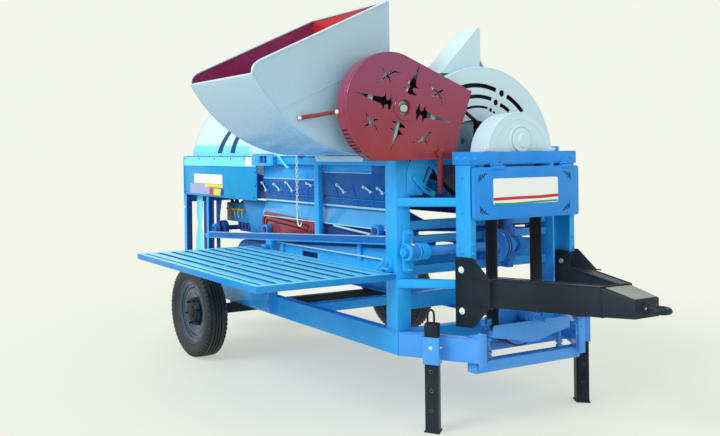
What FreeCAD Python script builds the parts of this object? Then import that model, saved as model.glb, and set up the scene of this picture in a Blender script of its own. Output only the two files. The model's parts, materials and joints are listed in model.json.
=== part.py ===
"""Towed multicrop thresher: a welded body on two wheels and two support legs.

+X is forward, towards the hitch eye; -Y is the feeding side, with the hopper and
the folding platform; +Z is up. Z = 0 is the ground. Lengths are millimetres.
Shapes are written from the axle (x = 0) and the middle plane (y = 0) and are moved
by ORIGIN, so that the model's own origin is the middle of its box, on the ground.
"""
import FreeCAD, Part
import math
import os
from types import SimpleNamespace

import Sketcher
from FreeCAD import Placement, Rotation, Vector

os.makedirs("parts", exist_ok=True)
doc = FreeCAD.newDocument("multicrop_thresher")


# ---------------------------------------------------------------- driving sizes
class Size:
    """A length that keeps the sheet formula it comes from, so that it can be bound."""

    def __init__(self, formula, value):
        self.formula = formula
        self.value = float(value)

    def __float__(self):
        return self.value

    def __neg__(self):
        return Size(f"(0 - {self.formula})", -self.value)

    def __add__(self, other):
        other = as_size(other)
        return Size(f"({self.formula} + {other.formula})", self.value + other.value)

    def __sub__(self, other):
        other = as_size(other)
        return Size(f"({self.formula} - {other.formula})", self.value - other.value)

    def __mul__(self, other):
        other = as_size(other)
        return Size(f"({self.formula} * {other.formula})", self.value * other.value)

    def __truediv__(self, other):
        other = as_size(other)
        return Size(f"({self.formula} / {other.formula})", self.value / other.value)

    __radd__ = __add__
    __rmul__ = __mul__

    def __rsub__(self, other):
        return as_size(other) - self


def as_size(value):
    return value if isinstance(value, Size) else Size(f"({float(value):.6f})", value)


sheet = doc.addObject("Spreadsheet::Sheet", "Dims")
SIZES = dict(
    # chassis and nose
    rear_reach=980, shaft_overhang=50, front_reach=2195, half_width=750, chassis_low=430, chassis_depth=150,
    channel_flange=75, channel_wall=8, nose_length=405, nose_half=455, nose_beam_depth=70,
    # body frame
    body_high=1690, post_size=110, cross_rail_depth=45, mid_post_x=580, mid_post_width=75,
    sub_post_x=1275, sub_post_width=55, thin_post_x=-490, thin_post_width=40,
    panel_depth=363, rear_panel_depth=440, rail_size=60, mid_rail_depth=45, mid_rail_rear_x=-520,
    mid_rail_rear_high=985, mid_rail_front_high=1165, sheet_wall=4,
    # front portal and its door
    portal_gap=210, portal_depth=125, portal_half=455, portal_low=1050, portal_rise=24,
    portal_wall=6, portal_flange=45, lintel_depth=80, door_low=1295, door_depth=22,
    door_gap=14, door_top_gap=15, door_hinge_radius=8, door_pin_radius=4, door_hinge_half=50,
    strut_size=55, strut_upper_low=1373, strut_lower_low=858,
    # drawbar and hitch eye
    arm_low=780, arm_high=950, arm_width=80, bracket_low=625, bracket_high=1060,
    bracket_wall=12, arm_reach=550, nose_root_half=130, nose_taper=290,
    nose_tip_half=100, nose_tip_low=800, nose_tip_high=905, eye_gap=70,
    eye_outer=63, eye_bore=26, eye_thickness=36,
    # running gear
    wheel_diameter=760, tyre_width=200, track=2164, rim_diameter=530, rim_width=150,
    axle_size=75, spindle_radius=30,
    # support legs
    leg_size=80, leg_wall=6, leg_length=665, leg_clearance=0.5, sleeve_wall=8,
    sleeve_low=420, sleeve_high=585,
    # drum, cover and feed
    drum_rise=60, drum_radius=330, drum_rear_x=-150, drum_front_gap=25, drum_wall=8,
    shaft_radius=30, cover_side=100, cover_drop=60, cover_wall=4,
    hopper_front_gap=75, hopper_width=840, hopper_wall=4, hopper_rim_rise=996, hopper_lip_rise=496,
    feed_out=10, feed_rise=300, feed_radius=95, feed_shaft_radius=20, feed_pulley_radius=275,
    small_pulley_radius=62,
    guard_gap=20, guard_depth=90, guard_wall=3,
    # main drive
    main_pulley_radius=190, main_pulley_gap=200, main_pulley_width=95, belt_gap=0.3,
    belt_thickness=10, input_z=670, input_reach=210, input_spline_radius=17.45,
    input_spline_length=80, hood_margin=90, hood_drop=7, hood_front_gap=10, hood_depth=145,
    # cross shafts
    counter_gap=60, counter_z=1088, counter_pulley_radius=110, rail_shaft_radius=22,
    bearing_radius=42, running_gap=0.1,
    # platform
    platform_rear_x=350, platform_front_gap=5, platform_gap=15, platform_width=1010,
    platform_high=950, platform_depth=42, slat_count=8, slat_width=74,
)
for row, (alias, number) in enumerate(SIZES.items(), start=1):
    sheet.set(f"A{row}", alias)
    sheet.set(f"B{row}", str(number))
    sheet.setAlias(f"B{row}", alias)
doc.recompute()
d = SimpleNamespace(**{alias: Size(f"Dims.{alias}", sheet.get(alias)) for alias in SIZES})

# places that follow from the driving sizes
d.nose_reach = d.front_reach + d.nose_length
d.portal_rear = d.front_reach + d.portal_gap
d.portal_front = d.portal_rear + d.portal_depth
d.portal_high = d.body_high + d.portal_rise
d.nose_root_x = d.portal_front + d.arm_reach
d.nose_tip_x = d.nose_root_x + d.nose_taper
d.eye_reach = d.nose_tip_x + d.eye_gap
d.drum_axis_z = d.body_high + d.drum_rise
d.cover_axis_z = d.body_high - d.cover_drop
d.cover_radius = d.half_width - d.cover_side
d.hopper_front_x = d.front_reach - d.hopper_front_gap
d.hopper_rear_x = d.hopper_front_x - d.hopper_width
d.feed_y = -d.half_width - d.feed_out
d.feed_z = d.body_high + d.feed_rise
d.guard_rear_x = d.front_reach + d.guard_gap
d.main_pulley_rear = d.front_reach + d.main_pulley_gap
d.input_front_x = d.main_pulley_rear + d.main_pulley_width + d.input_reach
d.hood_radius = d.main_pulley_radius + d.hood_margin
d.hood_axis_z = d.body_high - d.hood_drop
d.hood_front_x = d.main_pulley_rear + d.main_pulley_width + d.hood_front_gap
d.counter_x = d.front_reach + d.counter_gap
d.platform_inner = d.half_width + d.platform_gap
d.platform_outer = d.platform_inner + d.platform_width
d.platform_front_x = d.front_reach - d.platform_front_gap
WHEEL_Z = d.wheel_diameter / 2
CHASSIS_HIGH = d.chassis_low + d.chassis_depth
HITCH_TIP = d.eye_reach + d.eye_outer
FAR_TYRE = (d.track + d.tyre_width) / 2
ORIGIN_X = (d.rear_reach + d.shaft_overhang - HITCH_TIP) / 2
ORIGIN_Y = (d.platform_outer - FAR_TYRE) / 2
ORIGIN = Vector(float(ORIGIN_X), float(ORIGIN_Y), 0)
NEAR, FAR = -1, 1
SIDES = {"near": NEAR, "far": FAR}
X_AXIS = Vector(1, 0, 0)
Y_AXIS = Vector(0, 1, 0)
Z_AXIS = Vector(0, 0, 1)


# ---------------------------------------------------------------- shape helpers
NODES = []
TURNS = {"x": Rotation(Y_AXIS, 90), "y": Rotation(X_AXIS, -90), "z": Rotation()}
PLANES = {
    "XY": (Rotation(), Z_AXIS),
    "XZ": (Rotation(X_AXIS, 90), Y_AXIS),
    "YZ": (Rotation(Vector(1, 1, 1), 120), X_AXIS),
}


def bind(item, **formulas):
    """Bind properties of a document object to sheet formulas."""
    for name, value in formulas.items():
        item.setExpression(name.replace("__", "."), as_size(value).formula)


def place(item, x, y, z):
    bind(item, Placement__Base__x=ORIGIN_X + x, Placement__Base__y=ORIGIN_Y + y,
         Placement__Base__z=z)


def ordered(low, high):
    return (low, high) if float(low) <= float(high) else (high, low)


def box(x, y, z):
    """A box between three pairs of coordinates, each pair in either order."""
    (x0, x1), (y0, y1), (z0, z1) = ordered(*x), ordered(*y), ordered(*z)
    item = doc.addObject("Part::Box", "Box")
    bind(item, Length=x1 - x0, Width=y1 - y0, Height=z1 - z0)
    place(item, x0, y0, z0)
    return item


def rod(axis, ends, centre, radius):
    """A cylinder along an axis; centre gives the two other coordinates in XYZ order."""
    low, high = ordered(*ends)
    item = doc.addObject("Part::Cylinder", "Rod")
    bind(item, Radius=radius, Height=high - low)
    item.Placement.Rotation = TURNS[axis]
    spot = list(centre)
    spot.insert("xyz".index(axis), low)
    place(item, *spot)
    return item


def prism(plane, corners, ends):
    """A straight-sided outline, bound corner by corner, pushed between two planes."""
    turn, direction = PLANES[plane]
    low, high = ordered(*ends)
    sketch = doc.addObject("Sketcher::SketchObject", "Outline")
    points = [Vector(float(a), float(b), 0) for a, b in corners]
    for start, end in zip(points, points[1:] + points[:1]):
        sketch.addGeometry(Part.LineSegment(start, end), False)
    count = len(points)
    for index in range(count):
        following = (index + 1) % count
        sketch.addConstraint(Sketcher.Constraint("Coincident", index, 2, following, 1))
    for index, (a, b) in enumerate(corners):
        for kind, value in (("DistanceX", a), ("DistanceY", b)):
            number = sketch.addConstraint(
                Sketcher.Constraint(kind, -1, 1, index, 1, float(value)))
            if isinstance(value, Size):
                sketch.setExpression(f"Constraints[{number}]", value.formula)
    sketch.Placement.Rotation = turn
    offset = {"XY": (0, 0, low), "XZ": (0, low, 0), "YZ": (low, 0, 0)}[plane]
    place(sketch, *(as_size(value) for value in offset))
    item = doc.addObject("Part::Extrusion", "Prism")
    item.Base = sketch
    item.DirMode = "Custom"
    item.Dir = direction
    item.Solid = True
    bind(item, LengthFwd=high - low)
    return item


def fuse(*items):
    flat = [part for item in items for part in (item if isinstance(item, list) else [item])]
    if len(flat) == 1:
        return flat[0]
    item = doc.addObject("Part::MultiFuse", "Joined")
    item.Shapes = flat
    item.Refine = True
    return item


def cut(base, *tools):
    item = doc.addObject("Part::Cut", "Opened")
    item.Base = base
    item.Tool = fuse(*tools)
    return item


def common(base, tool):
    item = doc.addObject("Part::Common", "Kept")
    item.Base = base
    item.Tool = tool
    return item


def shaped(shape):
    """A shape made with Part's own functions, from sizes read from the sheet."""
    item = doc.addObject("Part::Feature", "Shaped")
    item.Shape = shape
    item.Placement = Placement(ORIGIN, Rotation()).multiply(shape.Placement)
    return item


def finish(node, item):
    """Give a finished sub-part its name."""
    item.Label = node
    NODES.append((node, item))
    return item


def both(make):
    """The same piece on the near side and on the far side."""
    return [make(side) for side in (NEAR, FAR)]


def at(x, y, z):
    return Vector(float(x), float(y), float(z))


def face_of(plane, start, *steps):
    """A flat face from a start point and steps: (end) is a line, (middle, end) an arc."""
    def lift(point):
        a, b = (float(value) for value in point)
        return {"XY": Vector(a, b, 0), "XZ": Vector(a, 0, b), "YZ": Vector(0, a, b)}[plane]

    edges = []
    here = lift(start)
    for step in steps:
        if isinstance(step[0], tuple):
            middle, end = lift(step[0]), lift(step[1])
            edges.append(Part.Arc(here, middle, end).toShape())
        else:
            end = lift(step)
            edges.append(Part.LineSegment(here, end).toShape())
        here = end
    return Part.Face(Part.Wire(edges))


def push(face, plane, ends):
    """Push a flat face between two planes."""
    low, high = (float(value) for value in ordered(*ends))
    direction = PLANES[plane][1]
    moved = face.copy()
    moved.translate(direction * low)
    return moved.extrude(direction * (high - low))


def turned(face, axis_z):
    """A face drawn in the XZ plane from the axle line, turned about a line along Y."""
    return face.revolve(Vector(0, 0, float(axis_z)), Y_AXIS, 360)


def rail_height(x):
    """Height of the sloping middle rail's top at a place along the body."""
    front_x = d.front_reach - d.post_size
    slope = (d.mid_rail_front_high - d.mid_rail_rear_high) / (front_x - d.mid_rail_rear_x)
    return d.mid_rail_rear_high + slope * (x - d.mid_rail_rear_x)


# ---------------------------------------------------------------- chassis and nose
BEAM_RUN = d.nose_reach - d.front_reach
BEAM_DRAW_IN = d.half_width - d.nose_half
BEAM_ANGLE = math.atan2(float(BEAM_DRAW_IN), float(BEAM_RUN))


def chassis_frame():
    def long_channel(side):
        bar = box((-d.rear_reach, d.front_reach),
                  (side * d.half_width, side * (d.half_width - d.channel_flange)),
                  (d.chassis_low, CHASSIS_HIGH))
        hollow = box((-d.rear_reach, d.front_reach),
                     (side * (d.half_width - d.channel_wall), side * (d.half_width - d.channel_flange)),
                     (d.chassis_low + d.channel_wall, CHASSIS_HIGH - d.channel_wall))
        return cut(bar, hollow)

    def nose_beam(side):
        flange = d.channel_flange
        corners = [(d.front_reach, side * d.half_width), (d.nose_reach, side * d.nose_half),
                   (d.nose_reach, side * (d.nose_half - flange)),
                   (d.front_reach, side * (d.half_width - flange))]
        return prism("XY", corners, (d.chassis_low, CHASSIS_HIGH))

    def end_plate(side):
        return box((d.nose_reach - 10, d.nose_reach), (side * d.nose_half, side * (d.nose_half - 140)),
                   (d.chassis_low - 20, CHASSIS_HIGH + 20))

    inner = d.half_width - d.channel_wall
    cross = [box((x, x + width), (-inner, inner), (low, high)) for x, width, low, high in (
        (-d.rear_reach, d.channel_flange, d.chassis_low, CHASSIS_HIGH),
        (as_size(-420), as_size(70), CHASSIS_HIGH - 70, CHASSIS_HIGH),
        (as_size(1060), as_size(70), CHASSIS_HIGH - 70, CHASSIS_HIGH),
        (d.front_reach - d.channel_flange, d.channel_flange, d.chassis_low, CHASSIS_HIGH))]
    low_beam = box((d.nose_reach - 110, d.nose_reach - 40), (-d.nose_half, d.nose_half),
                   (d.chassis_low - d.nose_beam_depth, d.chassis_low))
    inner_front = d.nose_reach - 220
    inner_half = d.half_width - BEAM_DRAW_IN * (inner_front - d.front_reach) / BEAM_RUN - 40
    inner_beam = box((inner_front - 60, inner_front), (-inner_half, inner_half),
                     (d.chassis_low, d.chassis_low + 60))
    return fuse(both(long_channel), both(nose_beam), both(end_plate), cross, low_beam, inner_beam)


finish("chassis_frame", chassis_frame())


def support_sleeve(side):
    """A square socket welded to the outside of the slanting nose beam."""
    outer = d.leg_size + 2 * (d.leg_clearance + d.sleeve_wall)
    tube = shaped(square_bar(side, float(outer), float(d.sleeve_low), float(d.sleeve_high)))
    bore = shaped(square_bar(side, float(outer - 2 * d.sleeve_wall),
                             float(d.sleeve_low) - 1, float(d.sleeve_high) + 1))
    return cut(tube, bore)


def leg_centre(side):
    """The sleeve lies against the nose beam's outer face, a little behind its middle."""
    outer = d.leg_size + 2 * (d.leg_clearance + d.sleeve_wall)
    share = 0.45
    x = float(d.front_reach + BEAM_RUN * share) + math.sin(BEAM_ANGLE) * float(outer) / 2
    y = float(d.half_width - BEAM_DRAW_IN * share) + math.cos(BEAM_ANGLE) * float(outer) / 2
    return x, side * y


def square_bar(side, width, low, high):
    """An upright square bar at a leg's place, turned to lie along the nose beam."""
    x, y = leg_centre(side)
    bar = Part.makeBox(width, width, high - low, Vector(-width / 2, -width / 2, low))
    bar.rotate(Vector(), Z_AXIS, -side * math.degrees(BEAM_ANGLE))
    bar.translate(Vector(x, y, 0))
    return bar


def support_leg(side):
    size, length = float(d.leg_size), float(d.leg_length)
    tube = square_bar(side, size, 0, length)
    hollow = square_bar(side, size - 2 * float(d.leg_wall), 8, length)
    return shaped(tube.cut(hollow))


for name, side in SIDES.items():
    finish(f"support_sleeve_{name}", support_sleeve(side))
    finish(f"support_leg_{name}", support_leg(side))


# ---------------------------------------------------------------- running gear
def axle_beam():
    hub_inner = (d.track - d.tyre_width) / 2 + 35
    half = d.axle_size / 2
    beam = box((-half, half), (-hub_inner, hub_inner), (WHEEL_Z - half, WHEEL_Z + half))
    spindles = rod("y", (-FAR_TYRE + 40, FAR_TYRE - 40), (0, WHEEL_Z), d.spindle_radius)
    seats = [box((-60, 60), (side * (d.half_width - d.channel_flange), side * d.half_width),
                 (WHEEL_Z + half, d.chassis_low)) for side in (NEAR, FAR)]
    return fuse(beam, spindles, seats)


finish("axle_beam", axle_beam())


def tyre(side):
    """Round-shouldered tyre section between the bead and the tread."""
    outer, bead = float(d.wheel_diameter) / 2, float(d.rim_diameter) / 2 + 0.3
    half, middle = float(d.tyre_width) / 2, side * float(d.track) / 2
    shoulder, bead_half, wall_out = 0.8 * half, float(d.rim_width) / 2, bead + 0.55 * (outer - bead)
    z = float(WHEEL_Z)
    section = face_of(
        "YZ", (middle - bead_half, z + bead), (middle - bead_half, z + bead + 12),
        ((middle - half, z + wall_out), (middle - shoulder, z + outer - 12)),
        ((middle, z + outer), (middle + shoulder, z + outer - 12)),
        ((middle + half, z + wall_out), (middle + bead_half, z + bead + 12)),
        (middle + bead_half, z + bead), (middle - bead_half, z + bead))
    return shaped(turned(section, WHEEL_Z))


def rim(side):
    """Dished steel wheel with a hub that runs on the spindle."""
    middle = side * d.track / 2
    half = d.rim_width / 2
    bead = d.rim_diameter / 2
    hub_inner = side * ((d.track - d.tyre_width) / 2 + 40)
    hub_outer = side * (FAR_TYRE - 30)
    barrel = cut(rod("y", (middle - half, middle + half), (0, WHEEL_Z), bead),
                 rod("y", (middle - half, middle + half), (0, WHEEL_Z), bead - 12))
    disc = rod("y", (middle + side * 8, middle + side * 18), (0, WHEEL_Z), bead - 5)
    hub = rod("y", (hub_inner, hub_outer), (0, WHEEL_Z), 62)
    bore = rod("y", (hub_inner, side * (FAR_TYRE - 39)), (0, WHEEL_Z),
               d.spindle_radius + d.running_gap)
    return cut(fuse(barrel, disc, hub), bore)


for name, side in SIDES.items():
    finish(f"tyre_{name}", tyre(side))
    finish(f"rim_{name}", rim(side))


# ---------------------------------------------------------------- body frame
RAIL_LOW = d.body_high - d.rail_size
FRONT_POST_REAR = d.front_reach - d.post_size
CROSS_RAILS = (FRONT_POST_REAR + 5, FRONT_POST_REAR + 5 + d.cross_rail_depth)
MID_POST = (d.mid_post_x, d.mid_post_x + d.mid_post_width)
SUB_POST = (d.sub_post_x, d.sub_post_x + d.sub_post_width)
THIN_POST = (d.thin_post_x, d.thin_post_x + d.thin_post_width)


def body_frame():
    half, size = d.half_width, d.rail_size
    pieces = []
    for side in (NEAR, FAR):
        outer = side * half
        pieces += [
            box((FRONT_POST_REAR, d.front_reach), (outer, side * (half - d.post_size)),
                (CHASSIS_HIGH, d.body_high - 25)),
            box((-d.rear_reach, -d.rear_reach + size), (outer, side * (half - size)),
                (CHASSIS_HIGH, d.body_high)),
            box((-d.rear_reach, d.front_reach - 5), (outer, side * (half - size)),
                (RAIL_LOW, d.body_high - 5)),
            box(MID_POST, (outer, side * (half - size)), (CHASSIS_HIGH, rail_height(MID_POST[0]))),
            box(SUB_POST, (outer, side * (half - 40)), (rail_height(SUB_POST[0]) - 5, RAIL_LOW + 5)),
            box(THIN_POST, (outer, side * (half - 40)), (CHASSIS_HIGH, RAIL_LOW + 5)),
            prism("XZ", [(d.mid_rail_rear_x, d.mid_rail_rear_high - d.mid_rail_depth),
                         (FRONT_POST_REAR + 5, rail_height(FRONT_POST_REAR) - d.mid_rail_depth),
                         (FRONT_POST_REAR + 5, rail_height(FRONT_POST_REAR)),
                         (d.mid_rail_rear_x, d.mid_rail_rear_high)],
                  (outer, side * (half - size)))]
    for low, height in ((RAIL_LOW, size), (as_size(1210), size), (as_size(1120), as_size(50)),
                        (as_size(920), size), (as_size(700), as_size(100))):
        pieces.append(box(CROSS_RAILS, (-half + 20, half - 20), (low, low + height)))
    pieces.append(box((-d.rear_reach, -d.rear_reach + size), (-half + 5, half - 5),
                      (RAIL_LOW, d.body_high)))
    pieces.append(box(CROSS_RAILS, (205, 265), (as_size(920), as_size(1270))))
    return fuse(*pieces)


finish("body_frame", body_frame())


def top_deck():
    """Narrow steel shelf between the body's top rails and the round drum cover."""
    inner = d.cover_radius - 8
    shelves = [box((-d.rear_reach, d.front_reach), (side * d.half_width, side * inner),
                   (d.body_high, d.body_high + d.sheet_wall)) for side in (NEAR, FAR)]
    rear = box((-d.rear_reach, -d.rear_reach + 30), (-inner, inner),
               (d.body_high, d.body_high + d.sheet_wall))
    return fuse(shelves, rear)


finish("top_deck", top_deck())


# ---------------------------------------------------------------- front portal and door
LINTEL_LOW = d.portal_high - d.lintel_depth


def strut(side, low):
    """Slanting strut from a front post of the body in to the portal."""
    corners = [(d.front_reach, side * d.half_width), (d.portal_rear, side * d.portal_half),
               (d.portal_rear, side * (d.portal_half - 45)),
               (d.front_reach, side * (d.half_width - d.post_size))]
    return prism("XY", corners, (low, low + d.strut_size))


def hinge_spots():
    """Middles of the door's two hinges, along Y."""
    return (as_size(-255), as_size(350))


DOOR_HINGE = (d.portal_front + 8 + d.door_hinge_radius + 4, LINTEL_LOW)
PULLEY_WAY = d.main_pulley_radius + 35


def portal_frame():
    """Two channel posts under a lintel that carries the door, with a shelf for the bearing."""
    def post(side):
        outside = (d.portal_rear, d.portal_front)
        bar = box(outside, (side * d.portal_half, side * (d.portal_half - d.portal_flange)),
                  (d.portal_low, d.portal_high))
        hollow = box((d.portal_rear + d.portal_wall, d.portal_front - d.portal_wall),
                     (side * (d.portal_half - d.portal_wall), side * (d.portal_half - d.portal_flange)),
                     (d.portal_low, d.portal_high))
        return cut(bar, hollow)

    wide = d.portal_half + 12
    front = d.portal_front + 8
    lintel = cut(
        box((d.portal_rear - 12, front), (-wide, wide), (LINTEL_LOW, d.portal_high)),
        box((d.portal_rear, d.portal_front), (-d.portal_half, d.portal_half),
            (LINTEL_LOW, d.portal_high - d.portal_wall)),
        box((d.portal_rear - 13, d.portal_front - 5), (-PULLEY_WAY, PULLEY_WAY),
            (LINTEL_LOW - 1, d.portal_high + 1)))
    pin_x, pin_z = DOOR_HINGE
    knuckles = []
    for middle in hinge_spots():
        along = (middle - 16, middle + 16)
        strap = box((front, front + 4), (middle - d.door_hinge_half, middle + d.door_hinge_half),
                    (LINTEL_LOW + 10, LINTEL_LOW + 66))
        tab = box((front, pin_x), along, (pin_z, pin_z + 14))
        barrel = rod("y", along, (pin_x, pin_z), d.door_hinge_radius)
        knuckles += [strap, tab, barrel]
    pins = rod("y", (-d.portal_half, d.portal_half), (pin_x, pin_z),
               d.door_pin_radius + d.running_gap)
    return fuse(cut(fuse(lintel, knuckles), pins), both(post),
                [strut(side, d.strut_upper_low) for side in (NEAR, FAR)])


finish("portal_frame", portal_frame())
SHELF_HIGH = d.body_high - 25


def bearing_shelf():
    """Bracket on the body's top cross rail that carries the drum's front bearing."""
    foot = box((CROSS_RAILS[1], d.front_reach + 20), (-130, 130), (RAIL_LOW, SHELF_HIGH))
    shelf = box((d.front_reach, d.main_pulley_rear - 12), (-130, 130), (SHELF_HIGH - 12, SHELF_HIGH))
    webs = [prism("XZ", [(d.front_reach, SHELF_HIGH - 90), (d.main_pulley_rear - 30, SHELF_HIGH - 20),
                         (d.main_pulley_rear - 30, SHELF_HIGH - 5), (d.front_reach, SHELF_HIGH - 5)],
                  (y, y + 10)) for y in (as_size(-120), as_size(110))]
    back = box((d.front_reach, d.front_reach + 10), (-130, 130), (SHELF_HIGH - 90, SHELF_HIGH - 5))
    return fuse(foot, shelf, webs, back)


finish("bearing_shelf", bearing_shelf())


def belt_door():
    """Folded front cover that hangs on two hinges under the lintel."""
    half = d.portal_half
    rear, high = d.portal_front + d.door_gap, LINTEL_LOW - d.door_top_gap
    shell = box((rear, rear + d.door_depth), (-half, half), (d.door_low, high))
    hollow = box((rear, rear + d.door_depth - 4), (-half + 4, half - 4), (d.door_low + 4, high - 4))
    pin_x, pin_z = DOOR_HINGE
    hinges = []
    for middle in hinge_spots():
        ends = (middle - d.door_hinge_half, middle + d.door_hinge_half)
        hinges.append(rod("y", ends, (pin_x, pin_z), d.door_pin_radius))
        for along in ((ends[0], middle - 17), (middle + 17, ends[1])):
            hinges.append(rod("y", along, (pin_x, pin_z), d.door_hinge_radius))
            hinges.append(box((pin_x - 4, pin_x + 4), along, (high - 20, pin_z)))
    return fuse(cut(shell, hollow), hinges)


finish("belt_door", belt_door())


# ---------------------------------------------------------------- drawbar and hitch eye
def drawbar():
    def bracket(side):
        corners = [(d.portal_rear, d.bracket_low), (d.portal_front + 20, d.bracket_low + 15),
                   (d.portal_front + 160, d.arm_low + 10), (d.portal_front + 160, d.arm_high),
                   (d.portal_front + 20, d.bracket_high + 8), (d.portal_rear, d.bracket_high)]
        return prism("XZ", corners, (side * d.portal_half, side * (d.portal_half + d.bracket_wall)))

    def arm(side):
        outer, nose = d.portal_half, d.nose_root_half
        corners = [(d.portal_front + 8, side * outer), (d.portal_front + 100, side * outer),
                   (d.nose_root_x + 30, side * nose), (d.nose_root_x + 30, side * (nose - d.arm_width)),
                   (d.portal_front + 60, side * (outer - d.arm_width)),
                   (d.portal_front + 8, side * (outer - d.arm_width))]
        return prism("XY", corners, (d.arm_low, d.arm_high))

    def nose():
        root = [(d.nose_root_half, d.arm_low, d.arm_high, d.nose_root_x),
                (d.nose_tip_half, d.nose_tip_low, d.nose_tip_high, d.nose_tip_x)]
        wires = [Part.makePolygon([at(x, -half, low), at(x, half, low), at(x, half, high),
                                   at(x, -half, high), at(x, -half, low)])
                 for half, low, high, x in root]
        return shaped(Part.makeLoft(wires, True, True))

    eye_z = (d.nose_tip_low + d.nose_tip_high) / 2
    collar = rod("x", (d.nose_tip_x - 5, d.eye_reach - d.eye_outer + 12), (0, eye_z), 34)
    post_foot = [box((d.portal_rear, d.portal_front), (side * d.portal_half, side * (d.portal_half - 45)),
                     (d.bracket_low + 20, d.portal_low)) for side in (NEAR, FAR)]
    return fuse(both(bracket), both(arm), nose(), collar, post_foot)


finish("drawbar", drawbar())
finish("lower_struts", fuse(*(strut(side, d.strut_lower_low) for side in (NEAR, FAR))))


def hitch_eye():
    """Forged ring with an upright bore for the tractor's pin."""
    eye_z = (d.nose_tip_low + d.nose_tip_high) / 2
    half = d.eye_thickness / 2
    ring = rod("z", (eye_z - half, eye_z + half), (d.eye_reach, 0), d.eye_outer)
    near_collar = d.eye_reach - d.eye_outer + 12
    trimmed = cut(ring, box((d.eye_reach - d.eye_outer - 1, near_collar), (-70, 70),
                            (eye_z - half - 1, eye_z + half + 1)))
    bore = rod("z", (eye_z - half - 1, eye_z + half + 1), (d.eye_reach, 0), d.eye_bore)
    return cut(trimmed, bore)


finish("hitch_eye", hitch_eye())


# ---------------------------------------------------------------- drum cover and end plates
COVER_REAR = -d.rear_reach + 20
COVER_FRONT = d.front_reach - 15


def upper_part(item, x):
    """What lies above the body's top deck."""
    reach = d.cover_radius + 20
    keep = box(x, (-reach, reach), (d.body_high + d.sheet_wall, d.cover_axis_z + reach))
    return common(item, keep)


def drum_cover():
    ends = (COVER_REAR, COVER_FRONT)
    shell = cut(rod("x", ends, (0, d.cover_axis_z), d.cover_radius),
                rod("x", ends, (0, d.cover_axis_z), d.cover_radius - d.cover_wall))
    feed_opening = box((d.hopper_rear_x + 20, d.hopper_front_x - 20), (-d.cover_radius, -420),
                       (d.body_high, d.cover_axis_z + d.cover_radius))
    return cut(upper_part(shell, ends), feed_opening)


finish("drum_cover", drum_cover())


def end_plate(x0, x1):
    disc = rod("x", (x0, x1), (0, d.cover_axis_z), d.cover_radius + 6)
    shaft_hole = rod("x", (x0 - 1, x1 + 1), (0, d.drum_axis_z), d.shaft_radius + 8)
    return cut(upper_part(disc, (x0, x1)), shaft_hole)


finish("front_end_plate", end_plate(COVER_FRONT, COVER_FRONT + 6))
finish("rear_end_plate", end_plate(COVER_REAR - 6, COVER_REAR))


def outlet_hood():
    """Dust outlet on the cover, its back sloping and its mouth open to the far side."""
    z0 = d.cover_axis_z + d.cover_radius - 40
    back = [(-300, z0), (30, z0 + 320), (45, z0 + 320), (45, z0 + 110), (45, z0)]
    outer = prism("YZ", back, (as_size(1930), d.hopper_front_x))
    inner = prism("YZ", [(-275, z0 - 1), (34, z0 + 300), (60, z0 + 300), (60, z0 - 1)],
                  (as_size(1934), d.hopper_front_x - 4))
    ends = (as_size(1900), d.hopper_front_x + 30)
    return cut(outer, inner, rod("x", ends, (0, d.cover_axis_z), d.cover_radius))


finish("outlet_hood", outlet_hood())


# ---------------------------------------------------------------- hopper
def hopper():
    """Scoop with a curved floor, two side walls, an inner wall and an open sloping top."""
    wall = float(d.hopper_wall)
    rear, front = float(d.hopper_rear_x), float(d.hopper_front_x)
    body = float(d.body_high) + float(d.sheet_wall)
    lip, lip_z = -1745, body + float(d.hopper_lip_rise)
    inner_y = -744
    rim_z = body + float(d.hopper_rim_rise)

    def outline(grow):
        """The side view; grow makes the hollow: smaller at the floor, open at the top."""
        floor = [(inner_y + 200, body + grow), (-947, body + 8 + grow),
                 ((-1386, body + 142 + grow), (lip + grow, lip_z))]
        if grow:
            mouth = [(lip - grow, lip_z), (lip - grow, rim_z + 6 * grow)]
        else:
            mouth = [((lip + 12, body + 545), (-1676, body + 585))]
        return face_of("YZ", *floor, *mouth, (inner_y, rim_z + 6 * grow),
                       (inner_y + 200, body + 420 + 6 * grow), (inner_y + 200, body + grow))

    solid = push(outline(0), "YZ", (rear, front))
    hollow = push(outline(wall), "YZ", (rear + wall, front - wall))
    shell = solid.cut(hollow)
    keep_out = Part.makeCylinder(float(d.cover_radius), float(COVER_FRONT - COVER_REAR),
                                 at(COVER_REAR, 0, d.cover_axis_z), X_AXIS)
    inner_low = body + 430
    inner_wall = Part.makeBox(front - rear, wall, rim_z - inner_low,
                              Vector(rear, inner_y - wall, inner_low))
    throat = Part.makeBox(front - rear, 210, 700, Vector(rear, inner_y, body + 300))
    shaft_hole = Part.makeCylinder(float(d.feed_shaft_radius) + 8, front - rear + 2,
                                   at(rear - 1, d.feed_y, d.feed_z), X_AXIS)
    scoop = shell.cut(throat).fuse(inner_wall).cut(keep_out).cut(shaft_hole)
    return shaped(scoop.removeSplitter())


finish("feed_hopper", hopper())


# ---------------------------------------------------------------- body sheets
def side_panel(side, x, z):
    outer = side * d.half_width
    return box(x, (outer, outer + side * d.sheet_wall), z)


PANEL_LOW = d.body_high - d.panel_depth
finish("near_rear_panel", side_panel(NEAR, (-d.rear_reach + 15, MID_POST[0] - 130),
                                     (PANEL_LOW, d.body_high)))
finish("far_side_panel", side_panel(FAR, (-d.rear_reach + 15, FRONT_POST_REAR),
                                    (PANEL_LOW, d.body_high)))


def rear_panel():
    """Back sheet of the body above the straw outlet."""
    wall = d.sheet_wall
    return box((-d.rear_reach - wall, -d.rear_reach), (-d.half_width, d.half_width),
               (d.body_high - d.rear_panel_depth, d.body_high))


finish("rear_panel", rear_panel())


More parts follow.
